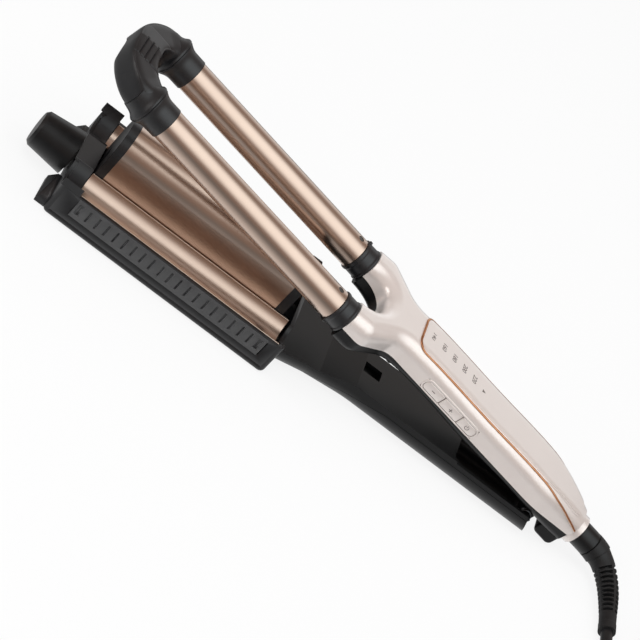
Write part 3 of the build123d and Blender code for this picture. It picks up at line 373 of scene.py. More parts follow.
finishes = {
    # Gloss injection-moulded ABS with a pearl lacquer: soft pink white, faint mica sparkle, clear top coat.
    "pearlLacqueredAbs": {
        "colour": "#E8DDD7", "second": "#E5D9D3", "fleck": "#F6EFEB", "fleckShare": 0.4, "edge": "#FFF8F4",
        "cloudMm": 30, "grainMm": 0.4, "roughness": 0.28, "wander": 0.01, "bump": 0.01,
        "metallic": 0.3, "coat": 0.7, "coatRoughness": 0.06, "ior": 1.5},
    # Spark-eroded moulded nylon: near black, fine even grain, soft grey sheen on turned edges.
    "mouldedBlackNylon": {
        "colour": "#0F0F10", "second": "#131314", "specular": 0.32, "cloudMm": 9, "grainMm": 0.45,
        "roughness": 0.36, "wander": 0.04, "bump": 0.06, "ior": 1.53},
    # Heat-proof moulded PPS of the head: a shade greyer and drier than the arm.
    "mouldedBlackPps": {
        "colour": "#18181A", "second": "#1C1C1E", "specular": 0.4, "cloudMm": 7, "grainMm": 0.5,
        "roughness": 0.4, "wander": 0.04, "bump": 0.08, "ior": 1.6},
    # Same PPS on the slotted band, matt and coarser; its greyer colour is painted light for the lamps the
    # leaning band catches.
    "paintedLitBandPps": {
        "colour": "#404041", "second": "#464647", "specular": 0.5, "cloudMm": 7, "grainMm": 0.5,
        "roughness": 0.5, "wander": 0.04, "bump": 0.15, "ior": 1.6},
    # Aluminium tube with a baked metallic rose gold coat: satin, fine flake, warm.
    "roseGoldCoatedAluminium": {
        "colour": "#C5AE9F", "second": "#C1AA9B", "fleck": "#CDB8AA", "fleckShare": 0.25, "edge": "#DCCABD",
        "cloudMm": 30, "grainMm": 0.3, "roughness": 0.29, "wander": 0.015, "bump": 0.01,
        "metallic": 1.0, "coat": 0.2, "coatRoughness": 0.15},
    # Copper electroplated ABS trim: bright, mirror-like, thin.
    "copperPlatedAbs": {
        "colour": "#D09A76", "second": "#C28A64", "cloudMm": 6, "grainMm": 0.6,
        "roughness": 0.16, "wander": 0.04, "bump": 0.02, "metallic": 1.0},
    # Moulded TPE of the strain relief and the plug: soft matt black.
    "mouldedBlackTpe": {
        "colour": "#141415", "second": "#1A1A1B", "specular": 0.4, "cloudMm": 5, "grainMm": 0.5,
        "roughness": 0.55, "wander": 0.06, "bump": 0.14, "ior": 1.5},
    # Painted shade: a thin grey-pink line in the gaps round the keys, drawn as the shadow in them.
    "gapShadeGrey": {
        "colour": "#8C7F79", "second": "#85786F", "cloudMm": 3, "grainMm": 0.3,
        "roughness": 0.6, "wander": 0.04, "bump": 0.05, "ior": 1.5},
    # Extruded PVC flex: dark, slightly shiny, a little drawn along its length.
    "extrudedPvcFlex": {
        "colour": "#131315", "second": "#1A1A1C", "specular": 0.4, "cloudMm": 8, "grainMm": 0.6,
        "roughness": 0.4, "wander": 0.05, "bump": 0.08, "ior": 1.52},
    # Cold-drawn spring steel: grey with a bluish drawn sheen.
    "drawnSpringSteel": {
        "colour": "#5E6063", "second": "#4E5053", "cloudMm": 3, "grainMm": 0.4,
        "roughness": 0.32, "wander": 0.05, "bump": 0.05, "metallic": 1.0},
    # Screw heads with black zinc, dulled by handling.
    "blackZincSteel": {
        "colour": "#6E6A66", "second": "#57534F", "cloudMm": 2, "grainMm": 0.3,
        "roughness": 0.36, "wander": 0.06, "bump": 0.06, "metallic": 1.0},
    # Die-cast aluminium heat spreader: pale, sandy.
    "castAluminium": {
        "colour": "#C7CACD", "second": "#B4B7BA", "cloudMm": 6, "grainMm": 0.6,
        "roughness": 0.45, "wander": 0.06, "bump": 0.2, "metallic": 1.0},
    # Sintered alumina of the heating strips: chalky off-white.
    "sinteredAlumina": {
        "colour": "#E6E2D6", "second": "#DAD4C4", "cloudMm": 3, "grainMm": 0.4,
        "roughness": 0.7, "wander": 0.05, "bump": 0.15, "ior": 1.76},
    # Glass-epoxy board with green solder mask: woven glass shows as a faint mottle.
    "solderMaskedFr4": {
        "colour": "#1E5B3A", "second": "#184E31", "cloudMm": 2, "grainMm": 0.5,
        "roughness": 0.35, "wander": 0.05, "bump": 0.08, "coat": 0.3, "ior": 1.5},
    # Moulded PBT of the key switches: dark grey, dry.
    "mouldedPbt": {
        "colour": "#2A2A2C", "second": "#333335", "cloudMm": 2, "grainMm": 0.3,
        "roughness": 0.5, "wander": 0.05, "bump": 0.08, "ior": 1.55},
    # Clear moulded polycarbonate light guides: glassy with a faint haze.
    "mouldedPolycarbonate": {
        "colour": "#E8EEF0", "second": "#DEE6E9", "cloudMm": 4, "grainMm": 0.5,
        "roughness": 0.12, "wander": 0.03, "bump": 0.02, "clear": 0.85, "ior": 1.585},
    # White epoxy of the indicator lamps: milky.
    "mouldedEpoxyLamp": {
        "colour": "#F2F2E6", "second": "#E9E8DA", "cloudMm": 2, "grainMm": 0.3,
        "roughness": 0.3, "wander": 0.03, "bump": 0.03, "ior": 1.55},
    # Pressed wool felt washer: dark, fibrous.
    "pressedWoolFelt": {
        "colour": "#2E2C2B", "second": "#3B3836", "cloudMm": 2, "grainMm": 0.35,
        "roughness": 0.9, "wander": 0.05, "bump": 0.6, "sheen": 0.4, "ior": 1.5},
    # Nickel-plated brass pins: warm bright metal with fine wipe marks.
    "nickelPlatedBrass": {
        "colour": "#B8B4AA", "second": "#A7A298", "cloudMm": 4, "grainMm": 0.4,
        "roughness": 0.2, "wander": 0.05, "bump": 0.03, "metallic": 1.0},
    # Pad-printed ink of the marks: flat warm grey.
    "padPrintedInk": {
        "colour": "#5A504C", "second": "#665B56", "cloudMm": 1.5, "grainMm": 0.3,
        "roughness": 0.5, "wander": 0.04, "bump": 0.05, "ior": 1.5},
}
materials = {name: makeFinish(name, look) for name, look in finishes.items()}

nodeFinishes = {
    "pearlLacqueredAbs": ["handle_top_shell", "top_panel", "end_ring",
                          "button_minus", "button_plus", "button_power"],
    "mouldedBlackNylon": ["handle_under_shell", "arm_cover_upper", "arm_cover_lower",
                          "swivel_socket", "swivel_stub", "dial", "wedge_bar", "lift_frame"],
    "mouldedBlackPps": ["head_tray", "front_bracket", "centre_ring_front", "centre_ring_rear", "cool_tip",
                        "collar_left", "collar_right"],
    "roseGoldCoatedAluminium": ["barrel_left", "barrel_right", "centre_barrel",
                                "trough_left", "trough_right"],
    "copperPlatedAbs": ["panel_trim"],
    "mouldedBlackTpe": ["strain_relief", "plug_body"],
    "extrudedPvcFlex": ["cord", "cord_coil", "cord_tail"],
    "drawnSpringSteel": ["hinge_spring", "hinge_pin", "guide_posts", "dial_shaft", "shaft_clip"],
    "blackZincSteel": ["barrel_screws", "arm_screws", "tray_screws", "shell_screws"],
    "castAluminium": ["barrel_core_left", "barrel_core_right"],
    "sinteredAlumina": ["barrel_strip_left", "barrel_strip_right", "centre_heater", "trough_heater_left",
                        "trough_heater_right"],
    "solderMaskedFr4": ["control_board"],
    "mouldedPbt": ["tact_switches"],
    "mouldedPolycarbonate": ["light_guides"],
    "mouldedEpoxyLamp": ["indicator_leds"],
    "pressedWoolFelt": ["friction_washer"],
    "nickelPlatedBrass": ["plug_pins"],
}
for finishName, nodeNames in nodeFinishes.items():
    for nodeName in nodeNames:
        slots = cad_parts[nodeName].data.materials
        for index in range(len(slots)):
            slots[index] = materials[finishName]
print("hair waver: materials made")

# The cord runs from the relief along the table, round its coil, then over the coil to the plug on top.
flex = {
    "thick": 6.2, "step": 2.2, "around": 16,
    "start": [(-216.0, 41.5, 4.6), (-218.4, 56.7, 3.8), (-227.8, 69.5, 3.3), (-242.05, 76.8, 3.12),
              (-259.5, 76.8, 3.12)],
    "end": [(-250.1, 9.4, 10.4), (-242.2, 29.8, 13.6), (-244.95, 45.55, 16.6), (-254.0, 57.5, 18.7),
            (-266.45, 63.9, 19.25), (-280.45, 63.9, 19.25)],
    "coil": (-284.5, 33.5), "coilRadius": 34.0, "strands": 4, "perTurn": 24,
    "firstTurn": 0.25, "leftOut": 0.45,  # in turns: where the coil starts, and what its last turn leaves out
    "overFrom": 0.66, "overLong": 0.34,  # the share of each turn in which the radius moves over
    "play": 0.02,
    "freeBend": 25.0,  # the stretch behind the relief, short of the coil
}


# Flat coil in two layers, from the top of the first turn: four turns going in, a step up, four going out; the
# radius moves over by one thickness in the last third of each turn.
def coilPoints():
    pitch = flex["thick"]
    last = flex["strands"] - 1
    share = np.arange(0.0, 2 * flex["strands"] - flex["leftOut"], 1.0 / flex["perTurn"])
    whole = np.floor(share)
    step = whole + smooth((share - whole - flex["overFrom"]) / flex["overLong"])
    outer = flex["coilRadius"] + pitch * last / 2
    inner = outer - pitch * last
    radius = np.where(step <= last, outer - pitch * step, inner + pitch * np.clip(step - last - 1, 0, last))
    height = pitch / 2 + flex["play"] + (pitch - flex["play"]) * np.clip(step - last, 0, 1)
    turned = 2 * math.pi * (share + flex["firstTurn"])
    x, y = flex["coil"]
    return np.stack([x + radius * np.cos(turned), y + radius * np.sin(turned), height], -1)


# The line that a quadratic NURBS curve draws for its route's points.
def splineLine(name, points, resolution=6):
    curve = bpy.data.curves.new(name, "CURVE")
    curve.dimensions = "3D"
    curve.resolution_u = resolution
    spline = curve.splines.new("NURBS")
    spline.points.add(len(points) - 1)
    spline.points.foreach_set("co", np.c_[points, np.ones(len(points))].ravel())
    spline.order_u = 3
    spline.use_endpoint_u = True
    holder = bpy.data.objects.new(name, curve)
    mesh = bpy.data.meshes.new_from_object(holder)
    line = meshPoints(mesh)
    bpy.data.objects.remove(holder)
    bpy.data.curves.remove(curve)
    bpy.data.meshes.remove(mesh)
    return line


# Round flex: rings of one radius along the evenly cut route.
def makeCord():
    route = np.concatenate([flex["start"], coilPoints(), flex["end"]])
    path, spots = evenPath(splineLine("cordLine", onTable(route)), flex["step"] / 1000)
    radius = flex["thick"] / 2000
    piece = makePiece("powerCord", [closedTube(ovalSweep(path, radius, radius, flex["around"]))], asMade)
    finishPiece(piece, None, "extrudedPvcFlex", "cord_sheath", "cord", "cord_coil", "cord_tail")
    return piece, path, spots[-1]


powerCord, cordPath, cordLength = makeCord()
print("hair waver: cord drawn, %.3f m" % cordLength)

relief = {
    "route": [(-207.4, 8.6, 7.6), (-213.0, 22.5, 5.6), (-216.0, 41.5, 4.6)],
    "start": -190.05, "straight": 7.5, "resolution": 24, "step": 0.22, "around": 72,
    "radii": [(0, 7.1), (6.6, 7.1), (6.9, 6.55), (9.5, 6.2), (30, 5.3), (44, 4.5), (49, 4.4)],
    "cuff": [(49.8, 4.58), (54.5, 4.58), (60, 4.58)], "cuffMiddle": 54.5,  # the cuff slides to the path's end
    "startRound": 0.3, "endRound": 0.5,
    "firstSlot": 15.5, "slotPitch": 2.9, "slots": 10, "slotWidth": 1.55, "slotDepth": 1.9, "slotEdge": 0.3,
    "rowTurn": 0.72, "rowFrom": 0.3, "rowEdge": 0.12,
}


# Straight out of the socket, then down to the table and sideways.
def reliefLine():
    start = relief["start"]
    ahead = onHandle([(start, 0, 0), (start - relief["straight"], 0, 0)])
    return splineLine("reliefLine", np.concatenate([ahead, onTable(relief["route"])]), relief["resolution"])


# Tapered tube r(s) with four rows of slots: depth * box(s) where |cos(2 angle)| > rowFrom.
def makeRelief():
    path, spots = evenPath(reliefLine(), relief["step"] / 1000)
    run = spots * 1000
    angle = ringAngles(relief["around"])[None, :]
    table = np.array(relief["radii"] + relief["cuff"])
    table[-len(relief["cuff"]):, 0] += run[-1] - relief["cuffMiddle"]
    radius = np.interp(run, table[:, 0], table[:, 1])[:, None] + 0 * angle
    place = (run - relief["firstSlot"]) / relief["slotPitch"]
    number = np.clip(np.round(place), 0, relief["slots"] - 1)
    near = np.abs(place - number) * relief["slotPitch"]
    slot = 1 - smooth((near - relief["slotWidth"] / 2 + relief["slotEdge"] / 2) / relief["slotEdge"])
    row = smooth((np.abs(np.cos(2 * (angle - relief["rowTurn"]))) - relief["rowFrom"]) / relief["rowEdge"])
    radius = radius - relief["slotDepth"] * slot[:, None] * row
    radius[0] -= relief["startRound"]
    radius[-1] -= relief["endRound"]
    rings = sweep(path, radius / 1000 * np.cos(angle), radius / 1000 * np.sin(angle))
    piece = makePiece("strainReliefSleeve", [closedTube(rings)], asMade, 40)
    return finishPiece(piece, "cord_swivel", "mouldedBlackTpe", "black_rubber", "strain_relief")


reliefPiece = makeRelief()

plug = {
    "long": 37.0, "face": 12.0, "shoulder": 3, "rim": 0.8, "halfWide": 17.65, "halfHigh": 6.85,
    "neck": 6.0, "neckHigh": 5.2, "neckLong": 12, "square": 1.6,
    "dents": (5, 22), "dentPitch": 3.0, "dentWide": 0.45, "dentDeep": 0.5,
}


# Moulded plug on the cord's end: superellipse sections, half width w(s), half height h(s), with grip dents at
# the sides: deep * exp(-((s mod pitch - pitch / 2) / wide)^2).
def makePlug():
    back, here = onTable(flex["end"][-2:])
    heading = unit(here - back)
    heading[2] = 0
    rim, flat = plug["rim"], plug["long"] - plug["rim"]
    run = np.concatenate([np.linspace(0, flat, 90), flat + rim * np.sin(np.linspace(0.2, math.pi / 2, 6))])
    rise = smooth((run - plug["shoulder"]) / (plug["long"] - plug["face"] - plug["shoulder"]))
    half = plug["neck"] + (plug["halfWide"] - plug["neck"]) * rise
    high = plug["neckHigh"] + (plug["halfHigh"] - plug["neckHigh"]) * smooth(run / plug["neckLong"])
    edge = np.sqrt(np.clip(1 - ((run - plug["long"] + rim).clip(0) / rim) ** 2, 0, 1))
    edge = 1 - rim / plug["halfHigh"] * (1 - edge)
    wave = (np.mod(run, plug["dentPitch"]) - plug["dentPitch"] / 2) / plug["dentWide"]
    dent = plug["dentDeep"] * np.exp(-wave ** 2) * (run > plug["dents"][0]) * (run < plug["dents"][1])
    angle = ringAngles(96)[None, :]
    shape = superellipse(angle, 2.0 + plug["square"] * rise[:, None])
    out = (half * edge - dent)[:, None] * shape * np.cos(angle)
    up = (high * edge)[:, None] * shape * np.sin(angle)
    rings = sweep(here + heading * run[:, None] / 1000, out / 1000, up / 1000)
    piece = makePiece("plugMoulding", [closedTube(rings)], asMade, 38)
    return finishPiece(piece, "handle", "mouldedBlackTpe", "black_rubber", "plug_body")


plugPiece = makePlug()

tie = {"angle": 200.0, "halfWide": 13.2, "high": 13.0, "long": 11.0, "thick": 0.7, "square": 5.0}


# Hook-and-loop strap round the coil's bundle: a superellipse ring with a flat section, across the coil's ray.
def makeTie():
    angle = ringAngles(64)
    shape = superellipse(angle, tie["square"])
    across = np.array([-tie["thick"], 0, 0, -tie["thick"]])
    along = np.array([-1, -1, 1, 1]) * tie["long"] / 2
    out = (tie["halfWide"] + across)[:, None] * shape * np.cos(angle)
    up = tie["high"] / 2 + (tie["high"] / 2 + across)[:, None] * shape * np.sin(angle)
    turned = math.radians(tie["angle"])
    ray = np.array([math.cos(turned), math.sin(turned)])
    side = np.array([-ray[1], ray[0]])
    plan = np.array(flex["coil"]) + (flex["coilRadius"] + out)[..., None] * ray + along[:, None, None] * side
    piece = makePiece("coilTie", [loopedTube(np.concatenate([plan, up[..., None]], -1))], onTable, 40)
    return finishPiece(piece, "handle", "mouldedBlackTpe", "black_rubber")


tiePiece = makeTie()
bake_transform(powerCord)
print("hair waver: relief, plug and tie made")

tip = {
    "axis": 23.15, "bend": 20.6, "arch": 151.0, "half": 8.5, "high": 8.5, "lift": 1.4, "step": 0.28,
    "square": 3.2, "squareFrom": 0.15, "squareOver": 0.5, "slim": 0.5, "slimFrom": 0.2, "slimOver": 0.5,
    "topFrom": 0.62, "topOver": 0.25,  # shares of the half height: where the top starts, over what it grows
    "dish": 0.9, "dishRim": 0.9, "dishEdge": 0.12, "dishFrom": 0.3, "dishOver": 0.3,
    "sleeve": [(113.5, 6.9, 0), (121.3, 6.9, 0.1), (121.3, 8.95, 0.35), (129.6, 9.0, 2.4),
               (133.0, 10.9, 0.5), (133.3, 10.5, 0.1), (133.6, 11.2, 0.3), (134.7, 11.2, 0.4),
               (137.0, 9.3, 1.6), (142.0, 8.2, 0)],
    "pad": 12.5, "padEdge": 0.8, "padRise": 1.3, "padFoot": 0.3,
    "grooves": [147.0, 150.5, 154.0], "grooveWide": 0.42, "grooveDeep": 0.75, "grooveEnd": 1.4,
    "grooveFade": 0.6,
    "hollow": 13.3, "hollowHeight": -13.64,  # room for the dial of the shut jaw, about the dial's axis then
}


# Quarter circle, short straight run, quarter circle, in the plane of the barrels.
def archPath():
    arc = np.linspace(0, math.pi / 2, 120)
    x = tip["arch"] - tip["bend"] + tip["bend"] * np.sin(arc)
    y = -tip["axis"] + tip["bend"] * (1 - np.cos(arc))
    flat = np.linspace(y[-1], -y[-1], 40)[1:-1]
    x = np.concatenate([x, np.full_like(flat, tip["arch"]), x[::-1]])
    y = np.concatenate([y, flat, -y[::-1]])
    return evenPath(np.stack([x, y, np.zeros_like(x)], -1), tip["step"])[0]


# Bent bar: superellipse section that squares up to the middle, a dished top with a roof-shaped grip pad on it
# (rise 1 - |y| / pad), three grooves across, and a round hollow below: z >= height + sqrt(hollow^2 - y^2).
def makeCoolTip():
    path = archPath()
    middle = np.sin(math.pi * np.linspace(0, 1, len(path)))[:, None]
    path[:, 2] += tip["lift"] * middle[:, 0]
    angle = ringAngles(180)[None, :]
    power = 2.0 + tip["square"] * smooth((middle - tip["squareFrom"]) / tip["squareOver"])
    shape = superellipse(angle, power)
    half = tip["half"] - tip["slim"] * smooth((middle - tip["slimFrom"]) / tip["slimOver"])
    out = half * shape * np.cos(angle)
    up = tip["high"] * shape * np.sin(angle)
    top = smooth((up / tip["high"] - tip["topFrom"]) / tip["topOver"])
    inside = smooth((tip["dishRim"] - np.abs(out) / tip["half"]) / tip["dishEdge"])
    up = up - tip["dish"] * top * inside * smooth((middle - tip["dishFrom"]) / tip["dishOver"])
    rings = sweep(path, out, up)
    x, y = rings[..., 0], rings[..., 1]
    pad = top * smooth((tip["pad"] - np.abs(y)) / tip["padEdge"])
    groove = sum(np.exp(-((x - spot) / tip["grooveWide"]) ** 2) for spot in tip["grooves"])
    groove = groove * smooth((y + tip["grooveEnd"]) / tip["grooveFade"])
    roof = tip["padRise"] * (1 - np.abs(y) / tip["pad"]) + tip["padFoot"]
    rings[..., 2] += pad * (roof - tip["grooveDeep"] * groove)
    hollow = tip["hollowHeight"] + np.sqrt(np.clip(tip["hollow"] ** 2 - y ** 2, 0, None))
    rings[..., 2] = np.maximum(rings[..., 2], hollow)
    sleeves = [turnedBlock(tip["sleeve"], (side * tip["axis"], 0)) for side in (-1, 1)]
    piece = makePiece("coolTipArch", [closedTube(rings), *sleeves], onHandle, 44)
    return finishPiece(piece, "handle", "mouldedBlackPps", "black_plastic", "cool_tip")


makeCoolTip()
print("hair waver: cool tip made")

collar = {
    "axis": 23.15,
    "profile": [(-17.5, 5.5, 0), (-9.0, 5.5, 0.1), (-8.95, 8.95, 0.3), (-8.6, 9.35, 0.25), (-7.7, 9.35, 0.3),
                (-7.1, 8.85, 0.4), (-2.4, 8.85, 0.5), (-1.8, 9.25, 0.3), (-0.2, 9.25, 0.3),
                (-0.05, 6.9, 0.1), (7.5, 6.9, 0)],
    "nub": [(-1.9, 0.4, 0), (-1.7, 1.25, 0.3), (-0.25, 1.35, 0.35), (-0.1, 0.4, 0)],
    "nubAngle": {-1: 106.0, 1: -40.0}, "nubOut": 8.9,
}


# Two turned rings with a bead at each end and one small locating nub.
def makeCollars():
    blocks = []
    for side in (-1, 1):
        y = side * collar["axis"]
        turned = math.radians(collar["nubAngle"][side])
        spot = (y + collar["nubOut"] * math.cos(turned), collar["nubOut"] * math.sin(turned))
        blocks += [turnedBlock(collar["profile"], (y, 0), 96), turnedBlock(collar["nub"], spot, 24)]
    piece = makePiece("barrelCollars", blocks, onHandle, 44)
    return finishPiece(piece, "handle", "mouldedBlackPps", "black_plastic", "collar_left", "collar_right")


makeCollars()
print("hair waver: collars made")

louvre = {
    "first": 11.4, "pitch": 5.4, "count": 21, "front": 8.7, "rear": 122.2,
    "wall": 35.55, "back": 0.4, "top": -1.1, "bottom": -12.4,
    "brow": 0.35, "crest": 0.95, "foot": 0.5,  # how far the band stands out, top to foot
    "rimShare": 0.55,  # of that, what is left at the rim
    "crestAt": 0.42, "footOver": 0.58,  # shares of the band's height
    "tilt": 0.22, "halfSlot": 0.46, "halfEnd": 1.0, "slotDepth": 0.75, "slotEdge": 0.12,
    "slotTop": 0.17, "slotEnd": 0.76, "slotFade": 0.03,
}


# Places along the band, close together at the slots' edges, and down it as shares of its height.
def louvreGrid():
    rib = louvre["pitch"] * np.array([-0.5, -0.3, -0.14])
    cut = np.array([-0.66, -0.54, -0.46, -0.38, -0.2, 0.0])
    steps = np.concatenate([rib, cut, -cut[-2::-1], -rib[:0:-1]])
    middles = louvre["first"] + louvre["pitch"] * np.arange(louvre["count"])
    along = np.clip((middles[:, None] + steps).ravel(), louvre["front"], louvre["rear"])
    along = np.concatenate([[louvre["front"]] * 2, along, [louvre["rear"]] * 2])
    fade = louvre["slotFade"] * np.array([-1, -0.5, 0, 0.5, 1])
    down = np.concatenate([[0, 0, 0.012, 0.03, 0.06, 0.1], louvre["slotTop"] + fade,
                           np.linspace(0.25, 0.7, 9), louvre["slotEnd"] + fade,
                           [0.84, 0.9, 0.95, 0.975, 0.99, 1, 1]])
    return np.meshgrid(along, down, indexing="ij")


# Bulged band on each side wall with upright finger slots: y = wall + rim * (brow to crest to foot
# + tilt * saw(x)) - depth * slot(x) * gate(z); the band is shut by a flat back.
def makeLouvres():
    x, v = louvreGrid()
    rows, columns = x.shape
    z = louvre["top"] + (louvre["bottom"] - louvre["top"]) * v
    rising = np.sin(math.pi / 2 * np.clip(v / louvre["crestAt"], 0, 1))
    falling = np.cos(math.pi / 2 * np.clip((v - louvre["crestAt"]) / louvre["footOver"], 0, 1))
    swell = np.where(v < louvre["crestAt"], louvre["brow"] + (louvre["crest"] - louvre["brow"]) * rising,
                     louvre["foot"] + (louvre["crest"] - louvre["foot"]) * falling)
    rim, edge = np.ones(rows), np.ones(columns)
    rim[[0, -1]] = edge[[0, -1]] = 0
    edge[[1, -2]] = louvre["rimShare"]
    number = (x - louvre["first"]) / louvre["pitch"]
    off = (number - np.round(number)) * louvre["pitch"]
    gate = (smooth((v - louvre["slotTop"]) / louvre["slotFade"] + 0.5)
            * smooth((louvre["slotEnd"] - v) / louvre["slotFade"] + 0.5))
    ends = (np.round(number) < 0.5) | (np.round(number) > louvre["count"] - 1.5)
    half = np.where(ends, louvre["halfEnd"], louvre["halfSlot"])
    slot = 1 - smooth((np.abs(off) - half) / louvre["slotEdge"] + 0.5)
    saw = np.mod(number, 1.0) - 0.5
    proud = rim[:, None] * edge * (swell + louvre["tilt"] * saw * gate) - louvre["slotDepth"] * slot * gate
    count = rows * columns
    outer = np.concatenate([np.arange(columns), np.arange(1, rows) * columns + columns - 1,
                            (rows - 1) * columns + np.arange(columns - 2, -1, -1),
                            np.arange(rows - 2, 0, -1) * columns])
    beside = np.roll(outer, -1)
    faces = gridFaces(rows, columns, False)
    faces += np.stack([beside, outer, outer + count, beside + count], -1).tolist()
    faces += [face[::-1] for face in gridFaces(rows, columns, False, count)]
    blocks = []
    for side in (-1, 1):
        front = np.stack([x, side * (louvre["wall"] + proud), z], -1).reshape(-1, 3)
        back = front * (1, 0, 1) + (0, side * (louvre["wall"] - louvre["back"]), 0)
        blocks.append((np.concatenate([front, back]), faces))
    piece = makePiece("trayLouvres", blocks, onArm, 30)
    fixNormals(piece)
    # The band takes the paler black: painted light, as if the leaning band were lit.
    return finishPiece(piece, "lower_arm", "paintedLitBandPps", "black_plastic")


makeLouvres()

trough = {
    "axis": 23.15, "half": 10.2, "edge": -1.0, "deep": 10.7, "sheet": 0.8, "span": (3.4, 123.0),
    "heater": (20.0, 106.0), "heaterTurn": 28.0, "heaterSkin": (0.85, 1.7),
    "ribs": (13.0, 113.0), "ribFrom": 0.2, "ribTo": 2.2, "ribSide": 0.05, "play": 0.1,
    "lips": (33.42, 12.9), "lipHeight": -0.72, "lipSpan": (3.5, 122.9),
    "lipRadius": 0.36, "lipTip": 0.05, "lipRound": 0.1,
}
troughCentre = trough["edge"] + math.sqrt(trough["deep"] ** 2 - trough["half"] ** 2)


# Rings of a bent sheet: arcs of radius deep + skin about the trough's own axis, turned to both sides.
def troughRings(xs, skin, turned):
    angle = np.linspace(-turned, turned, 49)[None, :] + 0 * xs[:, None]
    layers = []
    for out, order in zip(skin, (1, -1)):
        reach = trough["deep"] + out
        layer = [xs[:, None] + 0 * angle, reach * np.sin(angle), troughCentre - reach * np.cos(angle)]
        layers.append(np.stack(layer, -1)[:, ::order])
    return np.concatenate(layers, 1)


# A bent sheet on each side of the arm, with its finish.
def makeSheets(name, span, steps, skin, turned, *finish):
    rings = troughRings(np.linspace(*span, steps), skin, turned)
    piece = makePiece(name, [sheetTube(rings + (0, side * trough["axis"], 0)) for side in (-1, 1)], onArm, 40)
    fixNormals(piece)
    finishPiece(piece, "lower_arm", *finish)


# The trough plates, and the heating strips that lie under them.
def makeTroughs():
    turned = math.asin(trough["half"] / trough["deep"])
    makeSheets("troughPlates", trough["span"], 12, (0.0, trough["sheet"]), turned,
               "roseGoldCoatedAluminium", "rose_gold_coating", "trough_left", "trough_right")
    makeSheets("plateHeaters", trough["heater"], 6, trough["heaterSkin"], math.radians(trough["heaterTurn"]),
               "sinteredAlumina", "aluminium", "trough_heater_left", "trough_heater_right")


# The tray with its seat ribs lowered under the troughs: z = centre - sqrt((deep + sheet + play)^2 - u^2).
def makeTray():
    tray = copyNode("head_tray", "trayPan")
    placed = (meshPoints(tray.data) - shift) * 1000
    u = np.abs(placed[:, 1]) - trough["axis"]
    under = trough["deep"] + trough["sheet"] + trough["play"]
    low = troughCentre - np.sqrt(np.clip(under ** 2 - u ** 2, 0, None))
    rib = np.zeros(len(placed), bool)
    for x in trough["ribs"]:
        rib |= (placed[:, 0] > x - trough["ribFrom"]) & (placed[:, 0] < x + trough["ribTo"])
    rib &= (np.abs(u) < trough["half"] + trough["ribSide"]) & (placed[:, 2] > low)
    placed[rib, 2] = low[rib]
    tray.data.vertices.foreach_set("co", (placed / 1000 + shift).ravel())
    tray.data.update()
    return finishPiece(tray, "lower_arm", "mouldedBlackPps", "black_plastic", "head_tray")


# Rolled edges of the trough plates: thin round rods with shut ends.
def makeLips():
    front, rear = trough["lipSpan"]
    radius, end, bend = trough["lipRadius"], trough["lipTip"], trough["lipRound"]
    profile = [(front, end, 0), (front + bend, radius, bend), (rear - bend, radius, bend), (rear, end, 0)]
    blocks = [turnedBlock(profile, (side * spot, trough["lipHeight"]), 16)
              for side in (-1, 1) for spot in trough["lips"]]
    piece = makePiece("troughLips", blocks, onArm, 40)
    return finishPiece(piece, "lower_arm", "roseGoldCoatedAluminium", "rose_gold_coating")


makeTray()
makeTroughs()
makeLips()
print("hair waver: tray details made")


# Height of the handle's face at a place, where a line from above meets the pieces.
def panelHeight(names, x, y):
    above, best = 40.0, -100.0
    start, end = onHandle([(x, y, above), (x, y, 0.0)])
    for name in names:
        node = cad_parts[name]
        inverse = node.matrix_world.inverted()
        origin, target = inverse @ Vector(start), inverse @ Vector(end)
        found, spot, _, _ = node.ray_cast(origin, (target - origin).normalized())
        if found:
            placed = np.array(node.matrix_world @ spot)
            best = max(best, above * (1 - np.linalg.norm(placed - start) / np.linalg.norm(end - start)))
    return best


marks = {
    "words": ["140", "160", "180", "200", "220"], "first": -50.9, "pitch": 7.55, "size": 4.0, "middle": -1.3,
    "thick": 0.03, "proud": 0.025, "arrow": -88.95, "arrowSize": 1.1, "arrowLow": 0.02, "arrowHigh": 0.05,
}


# Flat outline mesh of a word or sign, in the plane.
def outlineMesh(text, size):
    curve = bpy.data.curves.new("mark", "FONT")
    curve.body = text
    curve.size = size
    curve.align_x, curve.align_y = "CENTER", "CENTER"
    curve.resolution_u = 6
    curve.extrude = marks["thick"]
    holder = bpy.data.objects.new("mark", curve)
    mesh = bpy.data.meshes.new_from_object(holder)
    faces = [list(polygon.vertices) for polygon in mesh.polygons]
    bpy.data.objects.remove(holder)
    return meshPoints(mesh), faces


# Plain numbers, read across the panel: letters run along y, their tops point to the rear; then a small arrow.
def makeMarks():
    blocks = []
    for number, word in enumerate(marks["words"]):
        flat, faces = outlineMesh(word, marks["size"])
        x = marks["first"] - number * marks["pitch"]
        height = panelHeight(["top_panel"], x, marks["middle"]) + marks["proud"]
        points = np.stack([x - flat[:, 1], flat[:, 0] + marks["middle"], height + flat[:, 2]], -1)
        blocks.append((points, faces))
    size, x = marks["arrowSize"], marks["arrow"]
    height = panelHeight(["top_panel"], x, 0.0)
    corners = np.array([(x - size, 0.0), (x + size, size), (x + size, -size)])
    points = np.concatenate([np.c_[corners, np.full(3, height - marks["arrowLow"])],
                             np.c_[corners, np.full(3, height + marks["arrowHigh"])]])
    blocks.append((points, [[0, 1, 2], [5, 4, 3], [0, 3, 4, 1], [1, 4, 5, 2], [2, 5, 3, 0]]))
    piece = makePiece("panelNumbers", blocks, onHandle, 20)
    return finishPiece(piece, "handle", "padPrintedInk", "black_plastic")


makeMarks()

trim = {
    "line": [(-174.6, 9.5, 0.5), (-166.0, 11.25, 30.0), (-153.0, 13.15, 30.0), (-44.6, 12.95, 5.6)],
    "half": 0.68, "rise": 0.5, "lift": 0.08, "step": 0.8, "passes": 6,
    "hold": 0.82, "ease": 0.09,  # the corner's pull on its own curve, and the pull of each end of the curve
}


